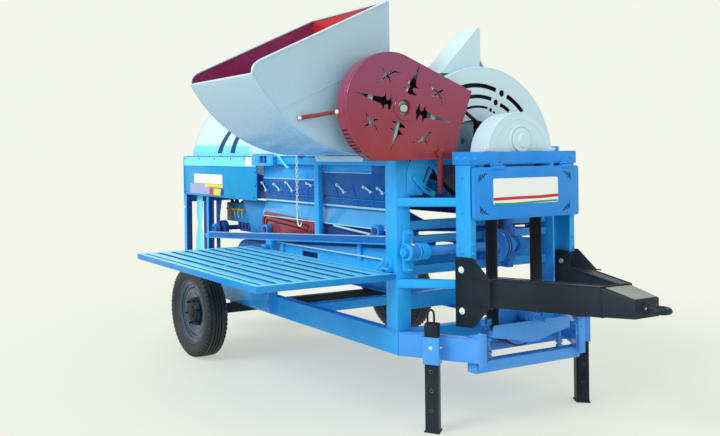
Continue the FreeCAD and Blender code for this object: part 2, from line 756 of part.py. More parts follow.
def concave():
    """Trough under the drum, with a sloping apron up to each top rail."""
    radius, wall, z = float(d.drum_radius) + 45, float(d.sheet_wall), float(d.drum_axis_z)
    angle = math.radians(40)
    edge_y, edge_z = radius * math.cos(angle), z - radius * math.sin(angle)
    top_y, top_z = float(d.half_width) - float(d.rail_size), float(RAIL_LOW) + 15
    section = face_of(
        "YZ", (-top_y, top_z), (-edge_y, edge_z),
        ((0, z - radius), (edge_y, edge_z)), (top_y, top_z), (top_y, top_z - 2 * wall),
        (edge_y, edge_z - 1.5 * wall), ((0, z - radius - wall), (-edge_y, edge_z - 1.5 * wall)),
        (-top_y, top_z - 2 * wall), (-top_y, top_z))
    return shaped(push(section, "YZ", (d.drum_rear_x - 40, FRONT_POST_REAR)))


finish("concave", concave())


def grain_slopes():
    """Two sloping sheets that lead grain from the sides down to the shoe."""
    def sheet_on(side):
        wall = d.sheet_wall
        y_out = side * (d.half_width - d.rail_size)
        y_in = y_out - side * 310
        high, low = d.mid_rail_front_high + 230, d.mid_rail_front_high + 80
        corners = [(y_out, high), (y_in, low), (y_in, low - wall), (y_out, high - wall)]
        return prism("YZ", corners, (MID_POST[1] + 5, FRONT_POST_REAR))

    return fuse(*both(sheet_on))


finish("grain_slopes", grain_slopes())


def sieve_shoe():
    """Open tray under the slopes that hangs from the sloping rails."""
    wall = d.sheet_wall
    half = d.half_width - d.rail_size - 25
    rear, front = as_size(545), FRONT_POST_REAR - 60
    drop, depth = as_size(30), as_size(150)
    low_rear = rail_height(rear) - d.mid_rail_depth - drop - depth
    low_front = rail_height(front) - d.mid_rail_depth - drop - depth
    solid = prism("XZ", [(rear, low_rear), (front, low_front), (front, low_front + depth),
                         (rear, low_rear + depth)], (-half, half))
    hollow = prism("XZ", [(rear + wall, low_rear + wall), (front - wall, low_front + wall),
                          (front - wall, low_front + depth + 1), (rear + wall, low_rear + depth + 1)],
                   (-half + wall, half - wall))
    slot = box((980, 1185), (-half - 5, half + 5), (low_rear + 95, low_rear + 135))
    hangers = [box((x, x + 40), (side * half, side * (d.half_width - d.rail_size)),
                   (rail_height(x) - d.mid_rail_depth - 110, rail_height(x) - d.mid_rail_depth + 5))
               for side in (NEAR, FAR) for x in (as_size(700), as_size(1700))]
    return fuse(cut(solid, hollow, slot), hangers)


finish("sieve_shoe", sieve_shoe())


def fan_housing():
    """Drum-shaped casing under the rails whose mouth blows into the shoe."""
    half = d.half_width - d.rail_size - 20
    x, z, radius = as_size(110), as_size(790), 185
    casing = rod("y", (-half, half), (x, z), radius)
    duct = box((x, as_size(540)), (-half, half), (as_size(790), as_size(970)))
    wall = 5
    inside = rod("y", (-half + wall, half - wall), (x, z), radius - wall)
    duct_inside = box((x, as_size(541)), (-half + wall, half - wall),
                      (as_size(790 + wall), as_size(970 - wall)))
    eyes = rod("y", (-half - 1, half + 1), (x, z), 95)
    feet = []
    for side in (NEAR, FAR):
        for step in (-120, 80):
            feet.append(box((x + step, x + step + 40), (side * half, side * (half - 12)),
                            (CHASSIS_HIGH, as_size(665))))
            feet.append(box((x + step, x + step + 40), (side * (half - 12), side * (d.half_width - 20)),
                            (CHASSIS_HIGH, CHASSIS_HIGH + 10)))
    return fuse(cut(fuse(casing, duct), inside, duct_inside, eyes), feet)


finish("fan_housing", fan_housing())


SHAKER_X = 545
RAIL_SHAFTS = {"fan_shaft": -370, "shaker_shaft": SHAKER_X, "auger_shaft": 1965}


def lower_belt_guard():
    """Open-backed cover over the shaker drive on the near side."""
    outer = float(d.half_width) - float(d.rail_size)
    wall, depth = float(d.guard_wall), 62
    low, high = float(rail_height(as_size(SHAKER_X)) + d.bearing_radius) - 60, 1240

    def outline(inset):
        return face_of(
            "XZ", (520 + inset, low - 12 + inset), ((425 + inset, high - 80), (505, high - inset)),
            (1272 - inset, high - 34 - inset), (1272 - inset, low + 70 + inset),
            (520 + inset, low - 12 + inset))

    shell = push(outline(0), "XZ", (-outer, -outer + depth))
    hollow = push(outline(wall), "XZ", (-outer + wall, -outer + depth + 1))
    centre = at(SHAKER_X, -outer - 10, rail_height(as_size(SHAKER_X)) + d.bearing_radius)
    shaft_hole = Part.makeCylinder(float(d.rail_shaft_radius) + 8, 20, centre, Y_AXIS)
    return shaped(shell.cut(hollow).cut(shaft_hole))


finish("lower_belt_guard", lower_belt_guard())


# ---------------------------------------------------------------- bearings and shafts
def pillow_block(along, centre, base, radius, base_half):
    """Bearing for a shaft along X: a housing, a neck and a foot on a level seat."""
    y, z = centre
    housing = rod("x", along, centre, radius + 20)
    foot = box(along, (y - base_half, y + base_half), (base, base + 18))
    neck = box(along, (y - radius, y + radius), (base, z))
    bore = rod("x", (along[0] - 1, along[1] + 1), centre, radius + d.running_gap)
    return cut(fuse(housing, foot, neck), bore)


RAIL_BEARING_WALL = 19


def rail_bearing(x, along):
    """Bearing for a shaft along Y, whose foot follows the sloping middle rail."""
    radius, half, rise = d.rail_shaft_radius, 70, 16
    centre = (x, rail_height(x) + d.bearing_radius)
    foot = prism("XZ", [(x - half, rail_height(x - half)), (x + half, rail_height(x + half)),
                        (x + half, rail_height(x + half) + rise),
                        (x - half, rail_height(x - half) + rise)], along)
    neck = box((x - radius, x + radius), along, (rail_height(x) + rise / 2, centre[1]))
    housing = rod("y", along, centre, radius + RAIL_BEARING_WALL)
    bore = rod("y", (along[0] - 1, along[1] + 1), centre, radius + d.running_gap)
    return cut(fuse(foot, neck, housing), bore)


def rail_bearings():
    return fuse(*(rail_bearing(as_size(x), ordered(side * (d.half_width - 55), side * (d.half_width - 10)))
                  for x in RAIL_SHAFTS.values() for side in (NEAR, FAR)))


finish("rail_bearings", rail_bearings())


def rail_shaft(x, pulley_radius):
    """Shaft across the body with a belt pulley just inside the near rail."""
    centre = (as_size(x), rail_height(as_size(x)) + d.bearing_radius)
    bar = rod("y", (-d.half_width, d.half_width), centre, d.rail_shaft_radius)
    pulley = rod("y", (-d.half_width + 95, -d.half_width + 135), centre, pulley_radius)
    return fuse(bar, pulley)


for name, x in RAIL_SHAFTS.items():
    finish(name, rail_shaft(x, {"fan_shaft": 70, "shaker_shaft": 60, "auger_shaft": 45}[name]))


def counter_bearings():
    """Two collars that carry the counter shaft in front of the body."""
    centre = (d.counter_x, d.counter_z)
    radius = d.shaft_radius
    blocks = []
    for low, high in ((-d.half_width + 40, -d.half_width + 100), (as_size(205), as_size(255))):
        housing = rod("y", (low, high), centre, radius + 24)
        plate = box((d.front_reach, d.front_reach + 20), (low, high),
                    (d.counter_z - 120, d.counter_z + 120))
        neck = box((d.front_reach, d.counter_x), (low, high),
                   (d.counter_z - radius, d.counter_z + radius))
        blocks.append(cut(fuse(housing, plate, neck),
                          rod("y", (low - 1, high + 1), centre, radius + d.running_gap)))
    reach = box((CROSS_RAILS[1], d.front_reach), (205, 255), (as_size(920), as_size(1270)))
    return fuse(blocks, reach)


finish("counter_bearings", counter_bearings())


def grooved_pulley(axis, ends, centre, radius, grooves):
    """Rim with V grooves turned into it."""
    low, high = ends
    body = rod(axis, ends, centre, radius)
    pitch = (high - low) / grooves
    rings = []
    for index in range(grooves):
        middle = low + pitch * (index + 0.5)
        outer = rod(axis, (middle - 7, middle + 7), centre, radius + 1)
        inner = rod(axis, (middle - 8, middle + 8), centre, radius - 14)
        rings.append(cut(outer, inner))
    return cut(body, *rings)


def counter_shaft():
    centre = (d.counter_x, d.counter_z)
    bar = rod("y", (-d.half_width + 15, as_size(275)), centre, d.shaft_radius)
    pulley = grooved_pulley("y", (as_size(28), as_size(78)), centre, d.counter_pulley_radius, 2)
    hub = rod("y", (-15, 120), centre, d.shaft_radius + 18)
    return fuse(bar, pulley, hub)


finish("counter_shaft", counter_shaft())

DRUM_CENTRE = (0, d.drum_axis_z)
DRUM_FRONT = FRONT_POST_REAR - d.drum_front_gap
MAIN_PULLEY = (d.main_pulley_rear, d.main_pulley_rear + d.main_pulley_width)
FEED_SPAN = (d.guard_rear_x + 20, d.guard_rear_x + 60)


def drum_shaft():
    """Long shaft of the drum, with the small feed pulley in front."""
    shaft = rod("x", (-d.rear_reach - d.shaft_overhang, MAIN_PULLEY[1]), DRUM_CENTRE, d.shaft_radius)
    return fuse(shaft, rod("x", FEED_SPAN, DRUM_CENTRE, d.small_pulley_radius))


finish("drum_shaft", drum_shaft())


def threshing_drum():
    """Closed drum on the shaft."""
    ends = (d.drum_rear_x, DRUM_FRONT)
    return cut(rod("x", ends, DRUM_CENTRE, d.drum_radius),
               rod("x", (ends[0] + d.drum_wall, ends[1] - d.drum_wall), DRUM_CENTRE,
                   d.drum_radius - d.drum_wall),
               rod("x", (ends[0] - 1, ends[1] + 1), DRUM_CENTRE, d.shaft_radius))


finish("threshing_drum", threshing_drum())


def main_pulley():
    wheel = grooved_pulley("x", MAIN_PULLEY, DRUM_CENTRE, d.main_pulley_radius, 4)
    return cut(wheel, rod("x", (MAIN_PULLEY[0] - 1, MAIN_PULLEY[1] + 1), DRUM_CENTRE, d.shaft_radius))


finish("main_pulley", main_pulley())


def drum_bearings():
    """Drum bearings: one on the shelf in front and one behind the rear end plate."""
    radius = d.shaft_radius
    front = pillow_block((d.front_reach + 105, d.front_reach + 160), DRUM_CENTRE, SHELF_HIGH,
                         radius, as_size(110))
    rear_base = d.body_high - 60
    seat = -d.rear_reach - d.sheet_wall
    span = (seat - 42, seat - 2)
    rear = pillow_block(span, DRUM_CENTRE, rear_base, radius, as_size(110))
    bracket = box((span[0], seat), (-110, 110), (rear_base - 30, rear_base + 1))
    return front, fuse(rear, bracket)


front_bearing, rear_bearing = drum_bearings()
finish("drum_bearing_front", front_bearing)
finish("drum_bearing_rear", rear_bearing)

INPUT_CENTRE = (0, d.input_z)
INPUT_SPANS = ((d.main_pulley_rear - 105, d.main_pulley_rear - 50),
               (MAIN_PULLEY[1] + 35, MAIN_PULLEY[1] + 85))
TENSION_HIGH = d.input_z - 58


def input_shaft():
    """Power input shaft with the lower belt pulley and a splined stub in front."""
    spline_rear = d.input_front_x - d.input_spline_length
    shaft = rod("x", (INPUT_SPANS[0][0] - 20, spline_rear), INPUT_CENTRE, d.shaft_radius)
    stub = rod("x", (spline_rear - 1, d.input_front_x), INPUT_CENTRE, d.input_spline_radius)
    pulley = grooved_pulley("x", MAIN_PULLEY, INPUT_CENTRE, d.main_pulley_radius, 4)
    return fuse(shaft, stub, pulley)


finish("input_shaft", input_shaft())


def input_bearings():
    return fuse(*(pillow_block(span, INPUT_CENTRE, TENSION_HIGH, d.shaft_radius, as_size(105))
                  for span in INPUT_SPANS))


finish("input_bearings", input_bearings())


def tension_frame():
    """Carrier of the input bearings, held up on two threaded rods."""
    rear, front = INPUT_SPANS
    left, right = as_size(-333), as_size(330)
    low = TENSION_HIGH - 40
    front_bar = box((MAIN_PULLEY[1] + 5, front[1] + 5), (left, right), (low, TENSION_HIGH))
    rear_bar = box((rear[0] - 15, rear[1] + 15), (-130, right), (low, TENSION_HIGH))
    side_bar = box((rear[0], front[0]), (right - 100, right), (low, TENSION_HIGH))
    rod_x = d.nose_reach - 75
    rods = [rod("z", (d.chassis_low, TENSION_HIGH + 30), (rod_x, y), 11)
            for y in (left + 20, right - 25)]
    rear_foot = box((d.front_reach, rear[0] + 10), (right - 70, right), (low - 60, TENSION_HIGH - 5))
    return fuse(front_bar, rear_bar, side_bar, rods, rear_foot)


finish("tension_frame", tension_frame())


def belt_loop(first, second, span, gap, thickness):
    """Belt set round two pulleys given as (y, z, radius); it clears each by a gap."""
    def outline(extra):
        (y1, z1, r1), (y2, z2, r2) = ((float(v) for v in wheel) for wheel in (first, second))
        r1, r2 = r1 + extra, r2 + extra
        distance = math.hypot(y2 - y1, z2 - z1)
        heading = math.atan2(z2 - z1, y2 - y1)
        lean = math.acos((r1 - r2) / distance)

        def rim_point(y, z, radius, angle):
            return y + radius * math.cos(angle), z + radius * math.sin(angle)

        start = rim_point(y1, z1, r1, heading + lean)
        return face_of(
            "YZ", start, rim_point(y2, z2, r2, heading + lean),
            (rim_point(y2, z2, r2, heading), rim_point(y2, z2, r2, heading - lean)),
            rim_point(y1, z1, r1, heading - lean),
            (rim_point(y1, z1, r1, heading + math.pi), start))

    inner, outer = float(gap), float(gap) + float(thickness)
    return shaped(push(outline(outer), "YZ", span).cut(push(outline(inner), "YZ", span)))


finish("main_belt", belt_loop((0, d.input_z, d.main_pulley_radius),
                              (0, d.drum_axis_z, d.main_pulley_radius),
                              (MAIN_PULLEY[0] + 4, MAIN_PULLEY[1] - 4), d.belt_gap, d.belt_thickness))


# ---------------------------------------------------------------- feed drive
FEED_CENTRE = (d.feed_y, d.feed_z)


def feed_roller():
    """Roller across the hopper's throat, turned by the large pulley behind the guard."""
    shaft = rod("x", (d.hopper_rear_x - 40, FEED_SPAN[1] + 10), FEED_CENTRE, d.feed_shaft_radius)
    roller = rod("x", (d.hopper_rear_x + 40, d.hopper_front_x - 40), FEED_CENTRE, d.feed_radius)
    pulley = rod("x", FEED_SPAN, FEED_CENTRE, d.feed_pulley_radius)
    return fuse(shaft, roller, pulley)


finish("feed_roller", feed_roller())
finish("feed_belt", belt_loop((d.feed_y, d.feed_z, d.feed_pulley_radius),
                              (0, d.drum_axis_z, d.small_pulley_radius), (FEED_SPAN[0] + 6, FEED_SPAN[1] - 6),
                              d.belt_gap, d.belt_thickness))


def feed_bearings():
    """Flanged bearings of the roller on the hopper's two side walls."""
    gap = d.feed_shaft_radius + d.running_gap
    spans = ((d.hopper_rear_x - 30, d.hopper_rear_x), (d.hopper_front_x, d.hopper_front_x + 30))
    return fuse(*(cut(rod("x", span, FEED_CENTRE, 48),
                      rod("x", (span[0] - 1, span[1] + 1), FEED_CENTRE, gap)) for span in spans))


finish("feed_bearings", feed_bearings())


def feed_guard():
    """Teardrop guard over the feed drive, open at the back and towards the drum."""
    rear, depth, wall = float(d.guard_rear_x), float(d.guard_depth), float(d.guard_wall)
    y, z, radius = float(d.feed_y) - 105, float(d.feed_z), float(d.feed_pulley_radius) + 70

    def outline(inset, past):
        r = radius - inset
        top = (y + r * math.cos(math.radians(66)), z + r * math.sin(math.radians(66)))
        left = (y - r, z)
        low = (y + r * math.cos(math.radians(-110)), z + r * math.sin(math.radians(-110)))
        return face_of("YZ", top, (left, low), (-385 + past, 1672 + inset),
                       (-212 + past, 2105 - inset), top)

    shell = push(outline(0, 0), "YZ", (rear, rear + depth))
    hollow = push(outline(wall, 20), "YZ", (rear - 1, rear + depth - wall))
    hub = Part.makeCylinder(32, 40, Vector(rear + depth - 20, float(d.feed_y), z), X_AXIS)
    return shaped(shell.cut(hollow).cut(hub))


finish("feed_guard", feed_guard())


def guard_stays():
    """Post from the upper strut and tie from the hopper that hold the guard."""
    front = d.guard_rear_x + d.guard_depth
    y = d.portal_half + 45
    post = box((front, front + 60), (-y - 14, -y + 14),
               (d.strut_upper_low + d.strut_size, as_size(1705)))
    end = float(d.feed_y) - 105 - float(d.feed_pulley_radius) - 70.3
    flat = face_of("YZ", (-1420, 1919), (end, 1958), (end, 1984), (-1420, 1945), (-1420, 1919))
    rear = float(d.guard_rear_x) + 6
    tie = push(flat, "YZ", (rear, rear + 8))
    stub = Part.makeCylinder(11, rear + 2 - float(d.hopper_front_x),
                             at(d.hopper_front_x, -1405, 1932), X_AXIS)
    return post, shaped(tie.fuse(stub))


guard_post, guard_tie = guard_stays()
finish("guard_post", guard_post)
finish("guard_tie", guard_tie)


def pulley_hood():
    """Half-round hood over the upper main pulley, with a round boss in front."""
    rear = d.hood_front_x - d.hood_depth
    ends = (rear, d.hood_front_x)
    centre = (0, d.hood_axis_z)
    above = box(ends, (-d.hood_radius - 5, d.hood_radius + 5),
                (d.portal_high, d.hood_axis_z + d.hood_radius + 5))
    shell = cut(rod("x", ends, centre, d.hood_radius),
                rod("x", (rear - 1, d.hood_front_x - 4), centre, d.hood_radius - 4))
    boss = rod("x", (d.hood_front_x, d.hood_front_x + 14), (10, d.drum_axis_z + 35), 76)
    cap = rod("x", (d.hood_front_x + 14, d.hood_front_x + 24), (18, d.drum_axis_z + 35), 42)
    return fuse(common(shell, above), boss, cap)


finish("pulley_hood", pulley_hood())


def adjusting_arm():
    """Slotted quadrant plate on the front of the near front post."""
    y, z = -float(d.half_width) + 85, float(d.body_high) - 250
    face = face_of("YZ", (y, z), (y + 120, z), (y + 235, z + 220), ((y + 195, z + 250), (y, z + 145)),
                   (y, z))
    slot = face_of("YZ", (y + 105, z + 40), (y + 120, z + 40), (y + 190, z + 180), (y + 175, z + 185),
                   (y + 105, z + 40))
    ends = (d.front_reach, d.front_reach + 8)
    wide = (d.front_reach - 1, d.front_reach + 9)
    return shaped(push(face, "YZ", ends).cut(push(slot, "YZ", wide)))


finish("adjusting_arm", adjusting_arm())


# ---------------------------------------------------------------- platform
HINGE_Y = -d.half_width - 40
HINGE_Z = d.platform_high + 22
HINGE_EARS = (FRONT_POST_REAR + 15, FRONT_POST_REAR + 75, as_size(590), as_size(640))
EAR = 8


def platform():
    """Folding slatted platform: a square-tube border, long slats and two pairs of lugs."""
    low, high = d.platform_high - d.platform_depth, d.platform_high
    size = as_size(45)
    rear, front = d.platform_rear_x, d.platform_front_x
    inner, outer = -d.platform_inner, -d.platform_outer
    border = [box((front - size, front), (outer, inner), (low, high)),
              box((rear, rear + size), (outer, inner), (low, high)),
              box((rear, front), (outer, outer + size), (low, high)),
              box((rear, front), (inner - size, inner), (low, high))]
    middle = (rear + front) / 2
    border.append(box((middle - 20, middle + 20), (outer, inner), (low, high - 6)))
    count = int(float(d.slat_count))
    pitch = (d.platform_outer - d.platform_inner - 2 * size) / count
    slats = [box((rear + size, front - size),
                 (outer + size + pitch * (index + 0.5) - d.slat_width / 2,
                  outer + size + pitch * (index + 0.5) + d.slat_width / 2),
                 (high - 5, high)) for index in range(count)]
    lugs = []
    for first, second in (HINGE_EARS[:2], HINGE_EARS[2:]):
        lugs.append(rod("x", (first - EAR, second + EAR), (HINGE_Y, HINGE_Z), 7))
        for x in (first + EAR + 1, second - EAR - 1 - EAR):
            lugs.append(box((x, x + EAR), (HINGE_Y - 13, HINGE_Y + 13), (high - 5, HINGE_Z)))
            lugs.append(rod("x", (x, x + EAR), (HINGE_Y, HINGE_Z), 13))
    return fuse(border, slats, lugs)


finish("platform", platform())


def platform_hinges():
    """Ears with pin holes on the body's posts, and the pads that the platform rests on."""
    body = -d.half_width
    ears, holes = [], []
    for x in HINGE_EARS[0], HINGE_EARS[1] - EAR, HINGE_EARS[2], HINGE_EARS[3] - EAR:
        ears.append(box((x, x + EAR), (body, HINGE_Y), (HINGE_Z - 14, HINGE_Z + 14)))
        ears.append(rod("x", (x, x + EAR), (HINGE_Y, HINGE_Z), 14))
        holes.append(rod("x", (x - 1, x + EAR + 1), (HINGE_Y, HINGE_Z), 7 + d.running_gap))
    pads = [box((first, second), (body, -d.platform_inner + 0.3),
                (d.platform_high - d.platform_depth, d.platform_high - 8))
            for first, second in (HINGE_EARS[:2], HINGE_EARS[2:])]
    return fuse(cut(fuse(ears), holes), pads)


finish("platform_hinges", platform_hinges())


# ---------------------------------------------------------------- checks and export
doc.recompute()
for item in doc.Objects:
    if "Invalid" in item.State or "Error" in item.State:
        raise RuntimeError(f"{item.Label} failed: {item.State}")
for node, item in NODES:
    shape = item.Shape
    if shape.isNull() or not shape.isValid() or not shape.Solids:
        raise RuntimeError(f"{node} has no valid solid")
for node, item in NODES:
    item.Shape.exportStep(f"parts/{node}.step")
print(len(NODES), "sub-parts written")
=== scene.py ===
"""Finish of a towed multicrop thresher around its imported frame, for Blender 4.5.

Shapes are given in millimetres: x forward from the axle, y from the machine's middle plane
(far side positive) and z from the ground. spot() turns such a place into Blender's metres, in
which faces and vertices of finished meshes are picked.
"""
import json
import math
from contextlib import contextmanager

import bmesh
import bpy
from mathutils import Matrix, Vector
from mathutils.geometry import delaunay_2d_cdt


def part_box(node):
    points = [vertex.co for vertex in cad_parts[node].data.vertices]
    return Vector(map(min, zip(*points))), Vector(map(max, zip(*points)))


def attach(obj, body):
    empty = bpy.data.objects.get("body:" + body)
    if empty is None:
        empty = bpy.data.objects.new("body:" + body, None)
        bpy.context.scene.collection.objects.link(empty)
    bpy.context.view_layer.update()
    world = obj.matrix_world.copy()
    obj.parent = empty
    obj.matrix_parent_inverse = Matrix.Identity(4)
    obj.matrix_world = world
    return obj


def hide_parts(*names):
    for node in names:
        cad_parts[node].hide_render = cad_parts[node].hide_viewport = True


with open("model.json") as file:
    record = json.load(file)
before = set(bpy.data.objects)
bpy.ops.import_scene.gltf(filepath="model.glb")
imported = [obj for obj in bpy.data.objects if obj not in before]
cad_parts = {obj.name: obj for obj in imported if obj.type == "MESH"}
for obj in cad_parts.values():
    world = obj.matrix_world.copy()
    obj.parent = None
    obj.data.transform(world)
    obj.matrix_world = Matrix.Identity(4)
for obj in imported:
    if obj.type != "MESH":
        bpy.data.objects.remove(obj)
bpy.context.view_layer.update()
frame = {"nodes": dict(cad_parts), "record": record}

NODES = frame["nodes"]
AXLE_X = sum(corner[0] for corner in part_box("axle_beam")) / 2
MIDDLE_Y = sum(corner[1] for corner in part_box("chassis_frame")) / 2
NEAR, FAR = SIDES = -1, 1
OUT_X, OUT_BACK, OUT_NEAR, OUT_FAR, UP = (1, 0, 0), (-1, 0, 0), (0, -1, 0), (0, 1, 0), (0, 0, 1)


def spot(x, y, z):
    return Vector((AXLE_X + x / 1000, MIDDLE_Y + y / 1000, z / 1000))


# ---------------------------------------------------------------- shader groups
class Wiring:
    """Adds nodes to one tree and joins them up."""

    def __init__(self, tree):
        self.tree = tree

    def feed(self, socket, value):
        if isinstance(value, bpy.types.NodeSocket):
            self.tree.links.new(value, socket)
        elif value is not None:
            socket.default_value = value

    def node(self, kind, settings=None, **inputs):
        made = self.tree.nodes.new("ShaderNode" + kind)
        for label, value in (settings or {}).items():
            setattr(made, label, value)
        for label, value in inputs.items():
            self.feed(made.inputs[label.replace("_", " ")], value)
        return made

    def place(self):
        return self.node("TexCoord").outputs["Object"]

    def normal(self):
        return self.node("NewGeometry").outputs["Normal"]

    def upright(self, vector):
        return self.node("SeparateXYZ", Vector=vector).outputs["Z"]

    def ordered(self, made, **sockets):
        """Feed sockets that share a name, by their number, and give the node back."""
        for number, value in sockets.items():
            self.feed(made.inputs[int(number[1:])], value)
        return made

    def math(self, operation, first, second, clamp=False):
        settings = {"operation": operation, "use_clamp": clamp}
        return self.ordered(self.node("Math", settings), _0=first, _1=second).outputs[0]

    def times(self, first, second, clamp=False):
        return self.math("MULTIPLY", first, second, clamp)

    def plus(self, first, second, clamp=False):
        return self.math("ADD", first, second, clamp)

    def vectors(self, operation, first, second):
        made = self.node("VectorMath", {"operation": operation})
        return self.ordered(made, _0=first, _1=second).outputs

    def noise(self, vector, scale, detail=3.0, roughness=0.55):
        return self.node("TexNoise", Vector=vector, Scale=scale, Detail=detail,
            Roughness=roughness).outputs["Fac"]

    def ramp(self, value, low, high):
        """0 below low, 1 above high and even between."""
        return self.node("MapRange", {"clamp": True}, Value=value, From_Min=low,
            From_Max=high).outputs["Result"]

    def blend(self, share, first, second):
        made = self.node("Mix", {"data_type": "RGBA", "blend_type": "MIX"})
        return self.ordered(made, _0=share, _6=first, _7=second).outputs[2]

    def group(self, group, **inputs):
        made = self.node("Group", {"node_tree": group}, **inputs)
        return made.outputs[0]


def shader_group(output, draw, **inputs):
    """A group with named inputs; draw(wiring, inputs) makes the value that it puts out."""
    group = bpy.data.node_groups.new(draw.__name__, "ShaderNodeTree")
    for label, value in inputs.items():
        kind = "NodeSocketVector" if isinstance(value, tuple) else "NodeSocketFloat"
        socket = group.interface.new_socket(label.replace("_", " "), in_out="INPUT",
            socket_type=kind)
        socket.default_value = value
    group.interface.new_socket(output, in_out="OUTPUT", socket_type="NodeSocketFloat")
    w, start = Wiring(group), group.nodes.new("NodeGroupInput").outputs
    w.feed(group.nodes.new("NodeGroupOutput").inputs[output], draw(w, start))
    return group


def edge_wear(w, start):
    """Masks worn corners, broken up by noise."""
    rounded = w.node("Bevel", {"samples": 4}, Radius=start["Width"]).outputs[0]
    edge = w.ramp(w.vectors("DOT_PRODUCT", rounded, w.normal())["Value"], 0.985, 0.86)
    broken = w.ramp(w.noise(w.place(), start["Scale"], 5.0, 0.65), 0.5, 0.66)
    return w.times(w.times(edge, broken), start["Amount"], True)


def dust(w, start):
    """Masks dust that lies on upward faces and splashes low down."""
    place = w.place()
    lying = w.times(w.ramp(w.upright(w.normal()), 0.6, 0.98), 0.7)
    low_down = w.ramp(w.upright(place), start["Splash Height"], 0.0)
    cloud = w.ramp(w.noise(place, start["Scale"], 6.0, 0.62), 0.38, 0.72)
    return w.times(w.times(w.math("MAXIMUM", lying, low_down), cloud), start["Amount"], True)


def sheet_relief(w, start):
    """Height of pressed sheet: slow waves and orange peel."""
    place = w.place()
    waves = w.times(w.noise(place, start["Scale"], 1.0, 0.4), start["Waves"])
    return w.plus(waves, w.times(w.noise(place, 260.0, 1.0, 0.5), w.times(start["Peel"], 0.01)))


def brushed_lines(w, start):
    """Fine lines along one axis, for turned and brushed metal."""
    drawn = w.vectors("MULTIPLY", w.place(), start["Stretch"])[0]
    return w.noise(drawn, start["Scale"], 4.0, 0.6)


EDGE_WEAR = shader_group("Mask", edge_wear, Width=0.004, Amount=0.5, Scale=30.0)
DUST = shader_group("Mask", dust, Amount=0.5, Splash_Height=0.7, Scale=6.0)
SHEET_RELIEF = shader_group("Height", sheet_relief, Waves=0.5, Peel=0.3, Scale=3.0)
BRUSHED = shader_group("Lines", brushed_lines, Stretch=(1.0, 1.0, 12.0), Scale=60.0)


def rgb(red, green, blue):
    return (red, green, blue, 1.0)


def material(name):
    made = bpy.data.materials.new(name)
    made.use_nodes = True
    return made, Wiring(made.node_tree), made.node_tree.nodes["Principled BSDF"]


def dress(w, shader, colour, rough, height, distance, **plain):
    """Feed a shader its colour, roughness and relief, and set its plain sockets."""
    w.feed(shader.inputs["Base Color"], colour)
    w.feed(shader.inputs["Roughness"], rough)
    for label, value in plain.items():
        shader.inputs[label.replace("_", " ")].default_value = value
    relief = w.node("Bump", Height=height, Distance=distance, Strength=1.0)
    w.feed(shader.inputs["Normal"], relief.outputs[0])


def paint(name, colour, waves, wear, dust, gloss=0.3, coat=0.12, shine=0.22, fade=0.04,
        worn=(0.30, 0.29, 0.28), sky=None):
    """Sprayed enamel: slow fading, chipped corners, dust and the waviness of the metal.

    sky gives a painted sky reflection: a second colour that takes over between two heights.
    """
    made, w, shader = material(name)
    place = w.place()
    pale = rgb(*(c + (1 - c) * fade for c in colour))
    deep = rgb(*(c * (1 - fade) for c in colour))
    coloured = w.blend(w.ramp(w.noise(place, 2.3, 4.0, 0.6), 0.25, 0.75), deep, pale)
    # painted reflection of the sky: the colour turns to the sky colour higher up
    if sky:
        upper, low, high = sky
        coloured = w.blend(w.ramp(w.upright(place), low, high), coloured, rgb(*upper))
    dusty = w.group(DUST, Amount=dust)
    coloured = w.blend(dusty, coloured, rgb(0.62, 0.58, 0.50))
    coloured = w.blend(w.group(EDGE_WEAR, Amount=wear), coloured, rgb(*worn))
    smear = w.times(w.noise(place, 11.0, 5.0, 0.65), 0.22)
    rough = w.plus(w.plus(smear, gloss - 0.1), w.times(dusty, 0.5), True)
    dress(w, shader, coloured, rough, w.group(SHEET_RELIEF, Waves=waves), 0.004,
        Specular_IOR_Level=shine, Coat_Weight=coat, Coat_Roughness=0.12)
    return made


def bare_metal(name, colour, rough=0.32, grime=0.3):
    """Turned or rolled steel with fine lines and a film of grime."""
    made, w, shader = material(name)
    lines = w.group(BRUSHED)
    film = w.times(w.ramp(w.noise(w.place(), 14.0, 5.0), 0.42, 0.7), grime)
    coloured = w.blend(film, rgb(*colour), rgb(*(c * 0.35 for c in colour)))
    dress(w, shader, coloured, w.plus(w.times(lines, 0.25), rough - 0.1), lines, 0.0004,
        Metallic=1.0)
    return made


def rubber(name, colour, rough, dust, grain):
    """Moulded rubber with a fine grain and dust in it."""
    made, w, shader = material(name)
    place = w.place()
    dusty = w.times(w.ramp(w.noise(place, 9.0, 6.0), 0.35, 0.75), dust)
    low = w.group(DUST, Amount=dust, Splash_Height=0.25)
    cover = w.math("MAXIMUM", w.times(dusty, 0.25), low)
    dress(w, shader, w.blend(cover, rgb(*colour), rgb(0.25, 0.22, 0.18)),
        w.plus(w.times(dusty, 0.2), rough, True), w.noise(place, grain, 3.0), 0.0012)
    return made


# name, colour, waves, wear, dust, then gloss, coat, shine and fade where they matter
BODY_BLUE = paint("body_enamel", (0.008, 0.35, 0.84), 0.25, 0.3, 0.05, 0.26, 0.08,
    0.12)
NOSE_BLUE = paint("nose_enamel", (0.05, 0.285, 0.8), 0.3, 0.3, 0.05, 0.26, 0.08, 0.12)
SHEET_BLUE = paint("sheet_enamel", (0.001, 0.23, 0.62), 0.9, 0.2, 0.03, 0.26, 0.04,
    0.07)
PANEL_BLUE = paint("side_panel_enamel", (0, 0.29, 0.63), 0.9, 0.15, 0.02, 0.26, 0.03,
    0.05)
DOOR_BLUE = paint("door_enamel", (0.003, 0.235, 0.76), 0.5, 0.2, 0.03, 0.24, 0.08, 0.1)
STEP_BLUE = paint("step_enamel", (0.15, 0.7, 0.96), 0.3, 0.4, 0.06, 0.28)
# a dark blue that is painted shade on parts and sheets in the body's shaded places, and also the
# colour of one dark print block on the near panel
DEEP_BLUE = paint("shade_and_print_blue", (0.001, 0.05, 0.26), 0.6, 0.1, 0.02, 0.36, 0.02,
    0.05)
